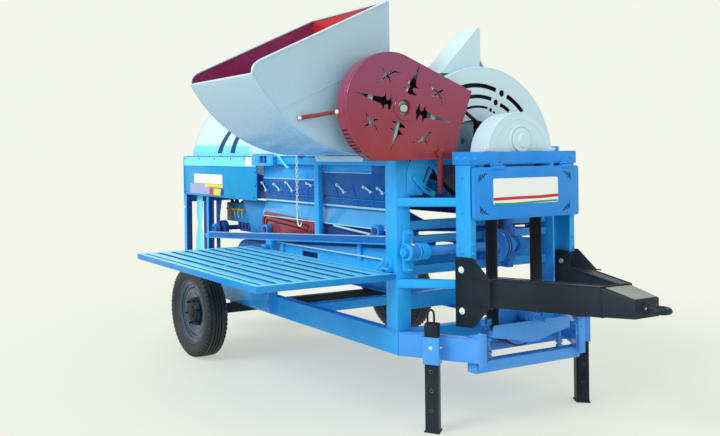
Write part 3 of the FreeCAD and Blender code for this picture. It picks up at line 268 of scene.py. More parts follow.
# painted shade: a dark blue for the side screens, the rail's face and the fan housing, which lie in
# shade
PAINTED_SHADE_BLUE = paint("painted_shade_enamel", (0.001, 0.11, 0.42), 1, 0.1, 0.02, 0.3, 0.03,
    0.06)
WHITE_PAINT = paint("white_enamel", (0.52, 0.7, 0.82), 0.7, 0.2, 0.06, shine=0.3,
    fade=0.03, worn=(0.45, 0.43, 0.4))
# the hopper's paint turns greyer towards its top: a painted sky reflection
HOPPER_PAINT = paint("hopper_enamel", (0.34, 0.55, 0.78), 1.3, 0.15, 0.03, 0.26,
    0.3, fade=0.05, worn=(0.3, 0.3, 0.3), sky=((0.37, 0.53, 0.66), 1.75, 2.35))
INNER_RED = paint("hopper_inner_enamel", (0.25, 0.012, 0.105), 0.8, 0.15, 0.05, 0.4)
BRIGHT_RED = paint("hopper_back_enamel", (0.46, 0.003, 0.008), 0.8, 0.1, 0.05)
# the guard's red turns plum towards its top: a painted sky reflection on the glossy red
GUARD_RED = paint("guard_enamel", (0.27, 0.006, 0.016), 0.7, 0.2, 0.03, 0.2, 0.35,
    sky=((0.24, 0.05, 0.13), 1.72, 2.3))
# a paler, purplish band along the lower guard's top edge: a painted sky reflection
LOW_GUARD_RED = paint("low_guard_enamel", (0.27, 0.012, 0.022), 0.5, 0.2, 0.03, 0.24,
    0.3, sky=((0.3, 0.1, 0.14), 1.19, 1.26))
TIE_RED = paint("stay_enamel", (0.16, 0.004, 0.012), 0.3, 0.2, 0.03, 0.28)
BLACK_PAINT = paint("black_enamel", (0.003, 0.01, 0.02), 0.4, 0.35, 0.01, 0.4, 0,
    0.12, 0.02, (0.13, 0.13, 0.13))
WORN_BLACK = paint("worn_black", (0.02, 0.045, 0.065), 2.2, 0.8, 0.12, 0.26, 0.4,
    0.5, 0.1, (0.3, 0.33, 0.35))
WHEEL_PAINT = paint("wheel_enamel", (0.002, 0.03, 0.075), 0.1, 0.15, 0.04, 0.2, 0.5,
    0.3)
CAST_PAINT = paint("bearing_enamel", (0.01, 0.2, 0.66), 1, 0.45, 0.12, 0.4)
# painted shade: near-black for holes, slots, mouths and sheets behind cut-outs
SHADOW_BLACK = paint("painted_shade_black", (0.004, 0.005, 0.008), 0.1, 0, 0, 0.6, 0,
    fade=0.01)
PLATE_WHITE = paint("plate_white", (0.8, 0.84, 0.86), 0.05, 0, 0, fade=0.02)
SIGN_RED = paint("plate_red", (0.55, 0.015, 0.02), 0.05, 0, 0, fade=0.02)
SIGN_GREEN = paint("plate_green", (0.02, 0.32, 0.1), 0.05, 0, 0, fade=0.02)
SIGN_YELLOW = paint("grease_yellow", (0.85, 0.6, 0.03), 0.05, 0, 0.1, fade=0.02)
SIGN_LILAC = paint("plate_lilac", (0.3, 0.36, 0.64), 0.05, 0, 0, fade=0.02)
# painted highlight: a pale blue that stands in for light caught on folded edges, latches, the
# rail's edge and the shaker rod
PAINTED_HIGHLIGHT_BLUE = paint("painted_highlight_enamel", (0.4, 0.66, 0.84), 0.1, 0.3, 0.05, 0.24)
APRON_BLUE = paint("apron_enamel", (0.035, 0.345, 0.72), 1.6, 0.2, 0.05, 0.18, 0.3)
WHITE_BOLT = paint("zinc_white_bolts", (0.78, 0.82, 0.82), 0, 0.2, 0.1, 0.25)
MACHINE_GREY = paint("machine_grey", (0.16, 0.3, 0.4), 2, 0.3, 0.1)
STRIPE_BLUE = paint("stripe_enamel", (0.002, 0.05, 0.22), 0.1, 0.05, 0.02, 0.5, 0,
    0.05)
BLUE_METAL = paint("blue_over_steel", (0.03, 0.24, 0.62), 0.1, 0.9, 0.1,
    worn=(0.5, 0.5, 0.5))
COUNTER_BLUE = paint("shaft_enamel", (0.02, 0.24, 0.76), 0.1, 0.5, 0.1, 0.22,
    worn=(0.5, 0.5, 0.5))
STEEL = bare_metal("machined_steel", (0.62, 0.63, 0.65))
ZINC = bare_metal("zinc_plate", (0.78, 0.79, 0.8), 0.25, 0.15)
DARK_STEEL = bare_metal("dark_mill_steel", (0.16, 0.17, 0.2), 0.5, 0.5)
TYRE = rubber("tyre_rubber", (0.006, 0.011, 0.015), 0.58, 0.08, 120.0)
BELT = rubber("belt_rubber", (0.008, 0.009, 0.011), 0.7, 0.08, 300.0)

SLOT_FINISH = {"body_blue": BODY_BLUE, "sheet_blue": SHEET_BLUE, "hopper_paint": HOPPER_PAINT,
    "guard_red": GUARD_RED, "hood_white": WHITE_PAINT, "steel": STEEL, "black_paint": BLACK_PAINT,
    "cast_iron": CAST_PAINT, "dark_steel": DARK_STEEL, "tyre": TYRE, "wheel_paint": WHEEL_PAINT,
    "belt": BELT}
SLOT_OF = {row["node"]: row["material_slot"] for row in frame["record"]["subparts"]}
BODY_OF = {node: body for body, nodes in frame["record"]["behaviour"]["bodies"].items()
    for node in nodes}


# ---------------------------------------------------------------- modelling helpers
def select(piece=None):
    """Select one piece alone, or nothing."""
    bpy.ops.object.select_all(action="DESELECT")
    if piece:
        piece.select_set(True)
        bpy.context.view_layer.objects.active = piece


@contextmanager
def edit(piece, action="DESELECT"):
    """Edit mode with nothing, or with everything, selected."""
    select(piece)
    bpy.ops.object.mode_set(mode="EDIT")
    bpy.ops.mesh.select_all(action=action)
    yield
    bpy.ops.object.mode_set(mode="OBJECT")


def settle(piece):
    """Put a piece's place, turn and size in its mesh."""
    select(piece)
    bpy.ops.object.transform_apply(location=True, rotation=True, scale=True)
    return piece


def weld(piece, gap=0.02):
    with edit(piece, "SELECT"):
        bpy.ops.mesh.remove_doubles(threshold=gap / 1000)
        bpy.ops.mesh.normals_make_consistent(inside=False)
    return piece


def round_edges(piece, width):
    """Roll the sharp edges over, as folded and welded steel has them."""
    select(piece)
    added = piece.modifiers.new("Bevel", "BEVEL")
    added.width, added.segments = width / 1000, 2
    added.limit_method, added.angle_limit = "ANGLE", math.radians(30)
    added.use_clamp_overlap, added.miter_outer = False, "MITER_ARC"
    bpy.ops.object.modifier_apply(modifier=added.name)
    return piece


def join(pieces):
    select(pieces[0])
    for piece in pieces:
        piece.select_set(True)
    if len(pieces) > 1:
        bpy.ops.object.join()
    return bpy.context.object


def add(name, finish, *pieces, body="frame", slot=None, replaces=(), smooth=35):
    """Join modelled pieces under a name, with their finish, and let them ride on their body."""
    piece = join(pieces)
    piece.name = piece.data.name = name
    settle(piece)
    piece.data.materials.clear()
    piece.data.materials.append(finish)
    bpy.ops.object.shade_smooth_by_angle(angle=math.radians(smooth))
    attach(piece, body)
    if replaces:
        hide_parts(*replaces)
    return piece


def copy_of_node(node):
    """A clean, joined-up copy of a CAD node's mesh that can be worked on."""
    piece = NODES[node].copy()
    piece.data = piece.data.copy()
    bpy.context.collection.objects.link(piece)
    piece.hide_render = False
    with edit(piece, "SELECT"):
        bpy.ops.mesh.remove_doubles(threshold=0.00005)
        bpy.ops.mesh.customdata_custom_splitnormals_clear()
        bpy.ops.mesh.dissolve_limited(angle_limit=math.radians(1.0))
    return piece


def refill_flats(piece):
    """Fill again, in triangles, the flat faces whose outline is too folded to fill by itself."""
    mesh = piece.data
    mesh.calc_loop_triangles()
    bad = {t.polygon_index for t in mesh.loop_triangles if t.area > 1e-6
        and t.normal.dot(mesh.polygons[t.polygon_index].normal) < 0}
    if not bad:
        return piece
    work = bmesh.new()
    work.from_mesh(mesh)
    work.faces.ensure_lookup_table()
    doomed = [work.faces[index] for index in sorted(bad)]
    for face in doomed:
        normal = face.normal.copy()
        level = normal.to_track_quat("Z", "Y").to_matrix().inverted()
        corners = list(face.verts)
        flat = [(level @ corner.co).to_2d() for corner in corners]
        outline = list(range(len(corners)))
        points, _, tris, sources, _, _ = delaunay_2d_cdt(flat, [], [outline], 1, 1e-7)
        height, back = (level @ corners[0].co).z, level.inverted()
        made = [corners[source[0]] if source else work.verts.new(back @ Vector((*point, height)))
            for source, point in zip(sources, points)]
        for tri in tris:
            try:
                new = work.faces.new([made[i] for i in tri])
            except ValueError:  # the same triangle is there already
                continue
            new.material_index = face.material_index
            new.normal_update()
            if new.normal.dot(normal) < 0:
                new.normal_flip()
    bmesh.ops.delete(work, geom=doomed, context="FACES_ONLY")
    work.to_mesh(mesh)
    work.free()
    return piece


def soften_node(node, width, finish=None):
    """Stand in for a CAD node with the same shape, its edges rounded."""
    slot = SLOT_OF[node]
    return add(f"{node}_rounded", finish or SLOT_FINISH[slot],
        refill_flats(round_edges(copy_of_node(node), width)), body=BODY_OF[node], slot=slot,
        replaces=[node])


# ---------------------------------------------------------------- making shapes
LAID = {"x": Matrix(((0, 0, 1), (1, 0, 0), (0, 1, 0))).to_4x4(),
    "y": Matrix(((1, 0, 0), (0, 0, -1), (0, 1, 0))).to_4x4(), "z": Matrix.Identity(4)}


def pointing(axis):
    """Turns a piece's own Z to lie along axis."""
    return Vector(axis).to_track_quat("Z", "Y").to_matrix().to_4x4()


def repeated(master, places):
    """Copies of a finished shape at each place, joined into one piece."""
    copies = []
    for place in places:
        copied = master.copy()
        copied.data = master.data.copy()
        copied.data.transform(place)
        bpy.context.collection.objects.link(copied)
        copies.append(copied)
    bpy.data.objects.remove(master)
    return join(copies)


def drawn_line(dimensions, lines, closed=True, smooth=False):
    """A curve object through flat points in millimetres, or through spots."""
    data = bpy.data.curves.new("line", "CURVE")
    data.dimensions = dimensions
    for points in lines:
        line = data.splines.new("NURBS" if smooth else "POLY")
        line.points.add(len(points) - 1)
        for dot, place in zip(line.points, points):
            dot.co = (*place, 1.0) if len(place) == 3 else (place[0] / 1000, place[1] / 1000, 0, 1)
        line.use_cyclic_u = closed
        if smooth:
            line.order_u = 3
            line.use_endpoint_u = not closed
    made = bpy.data.objects.new("line", data)
    bpy.context.collection.objects.link(made)
    return made


def as_mesh(made):
    select(made)
    bpy.ops.object.convert(target="MESH")
    return bpy.context.object


def plate(plane, low, high, *loops, edge=0.0):
    """A plate cut to closed outlines (one inside another is a hole) between two levels."""
    made = drawn_line("2D", loops)
    made.data.fill_mode = "BOTH"
    made.data.extrude = (high - low) / 2000
    piece = weld(as_mesh(made))
    shift = Vector([axis == plane for axis in "xyz"]) * (low + high) / 2
    piece.matrix_world = Matrix.Translation(spot(*shift)) @ LAID[plane]
    settle(piece)
    return round_edges(piece, edge) if edge else piece


def tube(points, radius, closed=False, smooth=False, sides=3):
    """A round bar bent along a line."""
    made = drawn_line("3D", [[spot(*place) for place in points]], closed, smooth)
    made.data.bevel_depth = radius / 1000
    made.data.bevel_resolution = sides
    made.data.use_fill_caps = True
    made.data.resolution_u = 8
    return weld(as_mesh(made))


def primitive(kind, place, way=None, stretch=(1, 1, 1), edge=0.0, **shape):
    """A primitive, stretched and then turned so that its own Z lies along way."""
    select()
    getattr(bpy.ops.mesh, f"primitive_{kind}_add")(location=place, **shape)
    piece = bpy.context.object
    piece.scale = stretch
    if way:
        piece.rotation_mode = "QUATERNION"
        piece.rotation_quaternion = way.to_track_quat("Z", "Y")
    settle(piece)
    return round_edges(piece, edge) if edge else piece


def block(low, high, edge=2):
    low, high = spot(*low), spot(*high)
    return primitive("cube", (low + high) / 2, None,
        [abs(b - a) for a, b in zip(low, high)], edge, size=1)


def beam(start, end, width, depth, edge=2):
    """A flat or square bar between two points; its depth is upright."""
    start, end = spot(*start), spot(*end)
    return primitive("cube", (start + end) / 2, end - start,
        (width / 1000, depth / 1000, (end - start).length), edge, size=1)


def round_bar(start, end, radius, edge=1.5, sides=32):
    start, end = spot(*start), spot(*end)
    return primitive("cylinder", (start + end) / 2, end - start, edge=edge, vertices=sides,
        radius=radius / 1000, depth=(end - start).length)


def turned(profile, centre, axis, steps=48):
    """An outline of (along, radius) points turned about an axis through centre."""
    closed = all(radius > 0 for along, radius in profile)
    outline = [(radius / 1000, 0, along / 1000) for along, radius in profile]
    piece = as_mesh(drawn_line("3D", [outline], closed))
    with edit(piece, "SELECT"):
        bpy.ops.mesh.spin(steps=steps, angle=math.tau, center=(0, 0, 0), axis=(0, 0, 1))
    weld(piece)
    piece.matrix_world = Matrix.Translation(spot(*centre)) @ pointing(axis)
    return settle(piece)


def swing(centre, reach, angle):
    """The flat point at a distance and an angle in degrees from a centre."""
    turn = math.radians(angle)
    return centre[0] + reach * math.cos(turn), centre[1] + reach * math.sin(turn)


def arc(centre, radius, start, end, count=12):
    """Flat points along an arc, from one angle in degrees to another."""
    return [swing(centre, radius, start + (end - start) * i / count) for i in range(count + 1)]


def ring(centre, radius, count=24):
    return arc(centre, radius, 0, 360, count)[:-1]


def box(u0, v0, u1, v1):
    """A flat rectangle, anticlockwise from its low corner."""
    return [(u0, v0), (u1, v0), (u1, v1), (u0, v1)]


def rounded_box(u0, v0, u1, v1, radius):
    points = []
    for u, v, start in ((u0, v0, 180), (u1, v0, 270), (u1, v1, 0), (u0, v1, 90)):
        middle = (u + (radius if u == u0 else -radius), v + (radius if v == v0 else -radius))
        points += arc(middle, radius, start, start + 90, 6)
    return points


def strip(path, width):
    """A closed outline that follows an open flat path with an even width."""
    left, right = [], []
    for index, here in enumerate(path):
        before, after = path[max(index - 1, 0)], path[min(index + 1, len(path) - 1)]
        along = (Vector(after) - Vector(before)).normalized()
        across = Vector((-along.y, along.x)) * width / 2
        left.append(tuple(Vector(here) + across))
        right.append(tuple(Vector(here) - across))
    return left + right[::-1]


def at_x(x, points):
    return [(x, y, z) for y, z in points]


def bolts(name, places, size, finish=ZINC, stud=0.5, **more):
    """Hexagon bolts of one size; each place is (x, y, z, direction of the head)."""
    metres, parts = size / 1000, []
    for sides, radius, depth, middle, edge in (
            (6, 1, 0.7, 0.5, 0.12), (20, 1.35, 0.25, 0.12, 0.06),
            (12, 0.5, 0.8 + stud, (0.8 + stud) / 2, 0.06)):
        parts.append(primitive("cylinder", (0, 0, metres * middle), edge=size * edge,
            vertices=sides, radius=metres * radius, depth=metres * depth))
    turns = [Matrix.Translation(spot(x, y, z)) @ pointing(axis) for x, y, z, axis in places]
    return add(name, finish, repeated(join(parts), turns), **more)


# ---------------------------------------------------------------- CAD nodes kept in their shape
def repaint(piece, finish):
    for place in piece.material_slots:
        place.material = finish


def other_paint(piece, finish, chosen):
    """Give the faces that chosen(middle, normal) picks a second finish."""
    piece.data.materials.append(finish)
    for face in piece.data.polygons:
        if chosen(face.center - spot(0, 0, 0), face.normal):
            face.material_index = len(piece.data.materials) - 1


for node, made in NODES.items():
    repaint(made, SLOT_FINISH[SLOT_OF[node]])
ROUNDED_NODES = {"chassis_frame": 4, "support_sleeve_near": 3, "support_sleeve_far": 3,
    "axle_beam": 4, "body_frame": 4, "top_deck": 1.2, "portal_frame": 2, "bearing_shelf": 2,
    "lower_struts": 4, "near_rear_panel": 1.2, "far_side_panel": 1.2, "rear_panel": 1.2,
    "sieve_shoe": 1.2, "drawbar": 5, "platform": 2.5, "platform_hinges": 2, "tension_frame": 3,
    "adjusting_arm": 2, "outlet_hood": 1.2}
OTHER_FINISH = {"axle_beam": BLACK_PAINT, "platform": STEP_BLUE}
rounded = {node: soften_node(node, width, OTHER_FINISH.get(node))
    for node, width in ROUNDED_NODES.items()}
other_paint(rounded["portal_frame"], DOOR_BLUE, lambda at, way: at.z > 1.628 and at.x > 2.40)
# painted shade: the platform's upright faces get a darker blue than its pale tops
other_paint(rounded["platform"], SHEET_BLUE, lambda at, way: abs(way.z) < 0.5 and at.z > 0.90)
# painted shade: the forward faces of the near rear posts, low down, are painted dark blue
other_paint(rounded["body_frame"], DEEP_BLUE, lambda at, way: way.x > 0.8 and at.x < -0.40
    and at.z < 1.33 and at.y < -0.60)
repaint(rounded["near_rear_panel"], PANEL_BLUE)
other_paint(rounded["chassis_frame"], NOSE_BLUE, lambda at, way: at.x > 2.20)
for node in ("support_sleeve_near", "support_sleeve_far", "tension_frame"):
    repaint(rounded[node], NOSE_BLUE)
# painted shade: the fan, shaker and auger shafts and the fan housing inside the body are painted
# dark blues; the input shaft keeps its own enamel
for node, finish in (("fan_shaft", DEEP_BLUE), ("shaker_shaft", DEEP_BLUE),
        ("auger_shaft", DEEP_BLUE), ("fan_housing", PAINTED_SHADE_BLUE), ("input_shaft", COUNTER_BLUE)):
    repaint(NODES[node], finish)
for vertex in rounded["chassis_frame"].data.vertices:  # a wider opening between the end plates
    side = vertex.co.y - MIDDLE_Y
    if vertex.co.x - AXLE_X > 2.58 and 0.30 < abs(side) < 0.345:
        vertex.co.y += math.copysign(0.405 - abs(side), side)
for vertex in rounded["drawbar"].data.vertices:  # the knee lies further forward
    if 3.04 < vertex.co.x - AXLE_X < 3.14 and abs(vertex.co.y - MIDDLE_Y) < 0.2:
        vertex.co.x += 0.072


# ---------------------------------------------------------------- wheels
WHEEL_Z, TRACK_Y = 380, 1082
LUGS, LUG_SIZE, LUG_PLACE = 58, (0.036, 0.019, 0.030), (0.356, 0, 0.074)
LUG_LEAN, LUG_SHIFT = 38, 2.9
STUDS, STUD_CIRCLE = 6, 100
# outlines as (along, radius) from the wheel's middle
HALF_TREAD = [(-75, 265.4), (-79, 276), (-92, 292), (-99.5, 314), (-99, 333), (-93, 350),
    (-82, 363), (-66, 369), (-54, 371), (-53, 378), (-31, 379.3), (-30, 369), (-22, 369),
    (-21, 379.6), (-5, 380), (-4, 370)]
TREAD = HALF_TREAD + [(-along, radius) for along, radius in HALF_TREAD[::-1]]
BARREL = [(-75, 265), (75, 265), (76, 259), (70, 255), (62, 252), (54, 238), (48, 229), (20, 225),
    (-40, 225), (-60, 247), (-75, 258)]
DISH = [(40, 229), (35, 222), (33, 206), (40, 192), (44, 178), (40, 164), (30, 150), (26, 132),
    (25, 62)]
HUB = [(-58, 62), (30, 62), (30, 112), (34, 116), (42, 116), (46, 112), (50, 92), (60, 82),
    (66, 76), (66, 31), (-58, 31)]
CAP = [(66, 0), (66, 54), (72, 52), (78, 42), (81, 22), (82, 0)]


def turn_z(degrees):
    return Matrix.Rotation(math.radians(degrees), 4, "Z")


def wheel(name, side):
    centre, outward, body = (0, side * TRACK_Y, WHEEL_Z), (0, side, 0), f"wheel_{name}"
    carcass = turned(TREAD, centre, outward, 96)
    lug = primitive("cube", (0, 0, 0), None, LUG_SIZE, size=1)
    lug.data.transform(Matrix.Translation(LUG_PLACE)
                       @ Matrix.Rotation(math.radians(LUG_LEAN), 4, "Y"))
    with edit(lug, "SELECT"):
        bpy.ops.mesh.bevel(offset=0.003, segments=1)
    both = repeated(lug, [Matrix.Identity(4), turn_z(LUG_SHIFT) @ Matrix.Rotation(math.pi, 4, "X")])
    lugs = repeated(both, [turn_z(360 * i / LUGS) for i in range(LUGS)])
    lugs.matrix_world = Matrix.Translation(spot(*centre)) @ pointing(outward)
    add(f"tyre_{name}_moulded", TYRE, carcass, settle(lugs), body=body, replaces=[f"tyre_{name}"],
        smooth=30)
    wall = [(along - 8, radius) for along, radius in DISH][::-1]
    add(f"rim_{name}_pressed", WHEEL_PAINT, *[turned(outline, centre, outward, 72)
        for outline in (BARREL, DISH + wall)], body=body, replaces=[f"rim_{name}"])
    add(f"hub_{name}", BLACK_PAINT, turned(HUB, centre, outward), turned(CAP, centre, outward),
        body=body)
    studs = [swing((0, WHEEL_Z), STUD_CIRCLE, 360 / STUDS * (i + 0.25)) for i in range(STUDS)]
    bolts(f"wheel_nuts_{name}", [(x, side * (TRACK_Y + 44), z, outward) for x, z in studs], 15,
        BLACK_PAINT, 1.6, body=body)
    valve = tube([(20, side * (TRACK_Y + y), WHEEL_Z + z) for y, z in ((42, 212), (72, 202))], 4)
    add(f"valve_{name}", BELT, valve, body=body, slot="tyre")


# ---------------------------------------------------------------- feed hopper
HOPPER_X = REAR, FRONT = 1280, 2120
FLOOR_CENTRE, FLOOR_RADIUS, FLOOR_TURN = (-879.7462, 2708.4395), 1008.6841, (-149.07096, -93.82302)


def level(x0, x1, y, z):
    """A line along the machine."""
    return [(x0, y, z), (x1, y, z)]


def hopper():
    shell = add("feed_hopper_sheet", HOPPER_PAINT, copy_of_node("feed_hopper"),
        replaces=["feed_hopper"])
    shell.data.materials.append(INNER_RED)
    shell.data.materials.append(BRIGHT_RED)
    inner_y, near = -0.744, 0.01
    for face in shell.data.polygons:
        middle, way = face.center - spot(0, 0, 0), face.normal
        across = [shell.data.vertices[i].co.x for i in face.vertices]
        wide = max(across) - min(across) > 0.1
        wall = (way.x > 0.9 and middle.x < REAR / 1000 + near) or (way.x < -0.9
            and middle.x > FRONT / 1000 - near)
        floor = wide and way.z > 0.05 and middle.y < inner_y
        back = wide and way.y < -0.9 and middle.y > inner_y - near
        face.material_index = 2 if back else int(wall or floor)

    lip = [(-1743, 2190), (-1741, 2210), (-1737, 2228), (-1725, 2246), (-1702, 2264), (-1674, 2278),
        (-1300, 2441), (-1000, 2573), (-748, 2683)]
    rims = [tube(at_x(x, lip), 7.5, sides=4) for x in (REAR + 3, FRONT - 3)]
    rims.append(tube(level(*HOPPER_X, -1737.5, 2190), 7.5, sides=4))
    rims.append(tube(level(*HOPPER_X, -748, 2682), 7, sides=4))
    add("hopper_rolled_rims", WHITE_PAINT, *rims)
    seams = []
    for x, step in ((FRONT, 1.2), (REAR, -1.2)):
        floor = arc(FLOOR_CENTRE, FLOOR_RADIUS, *FLOOR_TURN, 30)[:-1]
        seams.append(tube([(x + step, y, z + 2) for y, z in floor], 3.2))
        seams.append(tube(at_x(x + step * 0.3, [(-1540, 1985), (-1100, 2175)]), 1.6))
    add("hopper_seams", HOPPER_PAINT, *seams)
    add("hopper_edge_flange", HOPPER_PAINT,
        block((FRONT - 3, -748, 2130), (FRONT + 2, -728, 2684), 1),
        block((REAR, -752, 2300), (FRONT, -747, 2330), 1))
    add("hopper_skirt", WHITE_PAINT,
        plate("y", -757, -751.5, [(1300, 1694), (1880, 1694), (1860, 1655), (1320, 1655)], edge=1))
    bolts("hopper_skirt_bolts", [(x, -757, 1675, OUT_NEAR) for x in (1350, 1600, 1840)], 6)


def feed_bearing_flanges():
    """Square flanged housings with four bolts for the feed roller."""
    places, plates = [], []
    for x, away in ((FRONT, 1), (REAR, -1)):
        low, high = sorted((x, x + away * 8))
        plates.append(plate("x", low, high, rounded_box(-815, 1935, -705, 2045, 25),
            ring((-760, 1990), 30), edge=1.5))
        places += [(x + away * 8, y, z, (away, 0, 0)) for z in (1950, 2030) for y in (-800, -720)]
    add("feed_bearing_flanges", CAST_PAINT, *plates)
    bolts("feed_bearing_bolts", places, 7)


# ---------------------------------------------------------------- drum cover, its discs and hoods
COVER_AXIS = (0, 1630)  # (y, z)
COVER_RADIUS = 650


def arc_slot(start, end, width):
    """A slot between two (radius, angle) ends round the cover's axis."""
    shares = [i / 14 for i in range(15)]
    return strip([swing(COVER_AXIS, *(a + (b - a) * share for a, b in zip(start, end)))
        for share in shares], width)


def dot_hole(radius, angle, size):
    return ring(swing(COVER_AXIS, radius, angle), size, 20)


SLOT_ROWS = [  # three rows of cut-outs, from the outside in
    (arc_slot, (560, 128), (515, 75.8), 30), (dot_hole, 511, 69.8, 23.5),
    (arc_slot, (512, 64.3), (512, 43.6), 33),
    (arc_slot, (480, 126), (445, 79.1), 26), (dot_hole, 434, 73.8, 21.5),
    (arc_slot, (433, 68.4), (433, 55.5), 28),
    (arc_slot, (405, 122), (380, 82.7), 16), (dot_hole, 372, 78.6, 14.5),
    (arc_slot, (366, 75.5), (362, 71.5), 14),
]


def cover_disc():
    outline = [(y, max(z, 1694.5)) for y, z in arc(COVER_AXIS, 653, 5.8, 174.2, 64)]
    window = [(y, max(z, 1700)) for y, z in arc((-85, 1630), 298, 167, 13, 40)]
    slots = [kind(*values) for kind, *values in SLOT_ROWS]
    add("front_disc", WHITE_PAINT, plate("x", 2180.5, 2186.2, outline, window, *slots),
        replaces=["front_end_plate"])
    # painted shade: a black sheet behind the disc so that its slots look dark inside
    add("front_disc_shade_sheet", SHADOW_BLACK, plate("x", 2150, 2152, arc(COVER_AXIS, 640, 6, 174, 48),
        window))
    inner = arc((-85, 1630), 302, 166, 84, 24) + [(-60, 1700), (-375, 1700)]
    holes = [ring((-196, 1857), 26), ring((-151, 1785), 20), ring((-262, 1775), 14, 20)]
    add("window_plate", MACHINE_GREY, plate("x", 2154, 2157, inner, *holes, edge=0.8))
    edge = arc(COVER_AXIS, 651.5, 6.2, 173.8, 64)
    add("front_disc_rim", WHITE_PAINT, tube(at_x(2183.5, edge), 4.5))
    add("window_edge", WHITE_PAINT, tube(at_x(2184.5, window), 3))
    add("rear_disc_rim", WHITE_PAINT, tube(at_x(-963, edge), 4.5))


def cover_straps():
    """Folded straps with bolts where the cover's sheets meet."""
    pieces, places = [], []
    for x in (-930, 160, 1225, 2140):
        for side in SIDES:
            reach = (6.2, 55) if side == FAR else (110, 126) if x > 2000 else (125, 173.8)
            pieces.append(plate("x", x, x + 28, arc(COVER_AXIS, 650.5, *reach, 20) + arc(COVER_AXIS,
                648.5, *reach[::-1], 20)))
            if x < 1300 or side == FAR:
                angle = 9 if side == FAR else 171
                places.append((x + 14, *swing(COVER_AXIS, 651, angle),
                    (0, *swing((0, 0), 1, angle))))
    add("cover_straps", WHITE_PAINT, *pieces)
    bolts("cover_strap_bolts", places, 7)


def wrapped(side, corners, lift):
    """A thin painted sheet whose (x, height) corners are laid on the round cover."""
    select()
    bpy.ops.mesh.primitive_grid_add(x_subdivisions=12, y_subdivisions=24, size=1)
    piece = bpy.context.object
    for vertex in piece.data.vertices:
        u, v = vertex.co.x + 0.5, vertex.co.y + 0.5
        (x0, z0), (x1, z1), (x2, z2), (x3, z3) = corners
        low = (x0 + (x1 - x0) * u, z0 + (z1 - z0) * u)
        high = (x3 + (x2 - x3) * u, z3 + (z2 - z3) * u)
        x = low[0] + (high[0] - low[0]) * v - 45 * math.sin(math.pi * v)
        z = low[1] + (high[1] - low[1]) * v
        y = side * math.sqrt(max((COVER_RADIUS + lift) ** 2 - (z - COVER_AXIS[1]) ** 2, 0))
        vertex.co = spot(x, y, z)
    weld(piece)
    with edit(piece, "SELECT"):
        if (side == NEAR) == (piece.data.polygons[0].normal.y > 0):
            bpy.ops.mesh.flip_normals()
    return piece


def cover_bands():
    """Two swept stripes and a light blue foot on the cover's rear, near and far."""
    dark, light = [], []
    for side in SIDES:
        dark.append(wrapped(side, [(-460, 1720), (-370, 1720), (-130, 2060), (-210, 2060)], 0.9))
        dark.append(wrapped(side, [(-210, 1720), (-125, 1720), (50, 2040), (-20, 2040)], 0.9))
        light.append(wrapped(side, [(-955, 1697), (160, 1697), (160, 1780), (-955, 1800)], 0.5))
    add("cover_stripes", STRIPE_BLUE, *dark)
    add("cover_foot_stripe", STEP_BLUE, *light)


def pulley_hood():
    front, boss, cap = 2500, (2500, 10, 1785), (2500, 18, 1785)
    add("hood_boss_rings", WHITE_PAINT,
        turned([(0, 102), (4, 101), (6, 96), (6, 88), (0, 86)], boss, OUT_X, 64),
        turned([(0, 0), (0, 78), (10, 77), (14.5, 72), (14.5, 0)], boss, OUT_X, 64),
        turned([(14.5, 0), (14.5, 46), (21, 45), (23.5, 40), (22.5, 20), (23.5, 16), (23.5, 0)],
            cap, OUT_X))
    add("hood_edge_bead", WHITE_PAINT,
        tube(at_x(front - 3, arc((0, 1683), 278.5, 5.6, 174.4, 56)), 4.5),
        tube(at_x(front, arc((0, 1683), 236, 8, 172, 48)), 1.8))
    # painted shade: thin black blocks stand for the dark inside of two slots
    add("lintel_top_slots", SHADOW_BLACK, block((2508, -325, 1712.5), (2534, -245, 1715.2), 0.4),
        block((2508, 88, 1712.5), (2534, 172, 1715.2), 0.4))
    add("hood_clips", WHITE_PAINT, *[block((2470, y, 1713.5), (2508, y + 50, 1735))
        for y in (-310, 260)])
    bolts("hood_clip_bolts", [(2490, y, 1735, UP) for y in (-285, 285)], 7)


def outlet_hood():
    """Folded flange round the dust outlet's mouth and a hinged flap behind it."""
    mouth = [(x, 48, z) for x, z in ((1934, 2555), (2116, 2555), (2116, 2340), (1934, 2340))]
    add("outlet_rim", WHITE_PAINT, tube(mouth, 6, closed=True), tube([(2119, -296, 2245),
        (2119, 30, 2558)], 3))
    add("outlet_flap", WHITE_PAINT, beam((2025, 58, 2335), (2025, 95, 2285), 178, 3, 0.8))
    # painted shade: a black block for the dark inside of the outlet's mouth
    add("outlet_dark_mouth", SHADOW_BLACK, block((1980, 53.5, 2420), (2070, 54.5, 2500), 0.2))


# ---------------------------------------------------------------- feed drive and its guard
# (y, z) middles of the feed roller's shaft, the cut-out star and the guard's round edge
FEED, STAR, GUARD_CENTRE = (-760, 1990), (-768, 1993), (-865, 1990)
CROSSES = [((-902, 2195), [(-936, 2240), (-869, 2140), (-994, 2137), (-787, 2210)]),
    ((-493, 2091), [(-576, 2156), (-464, 2001), (-432, 2108), (-560, 2066)]),
    ((-1026, 1904), [(-1064, 1976), (-971, 1835), (-1088, 1876), (-964, 1918)]),
    ((-613, 1802), [(-731, 1779), (-534, 1849), (-590, 1754), (-648, 1821)])]
SPIKES = [(64.8, 303), (166.3, 405), (247.3, 296), (346.5, 408)]


def spike(angle, length):
    """One long point of the cut-out star, with a curved barb on each side."""
    half = [(94, 7), (101, 22), (104, 42), (116, 58), (120, 32), (131, 11), (147, 18), (160, 56),
        (168, 30), (182, 21), (180 + (length - 180) * 0.55, 8), (length, 0)]
    whole = half + [(along, -across) for along, across in half[-2::-1]]
    turn = math.radians(angle)
    return [(STAR[0] + along * math.cos(turn) - across * math.sin(turn),
        STAR[1] + along * math.sin(turn) + across * math.cos(turn)) for along, across in whole]


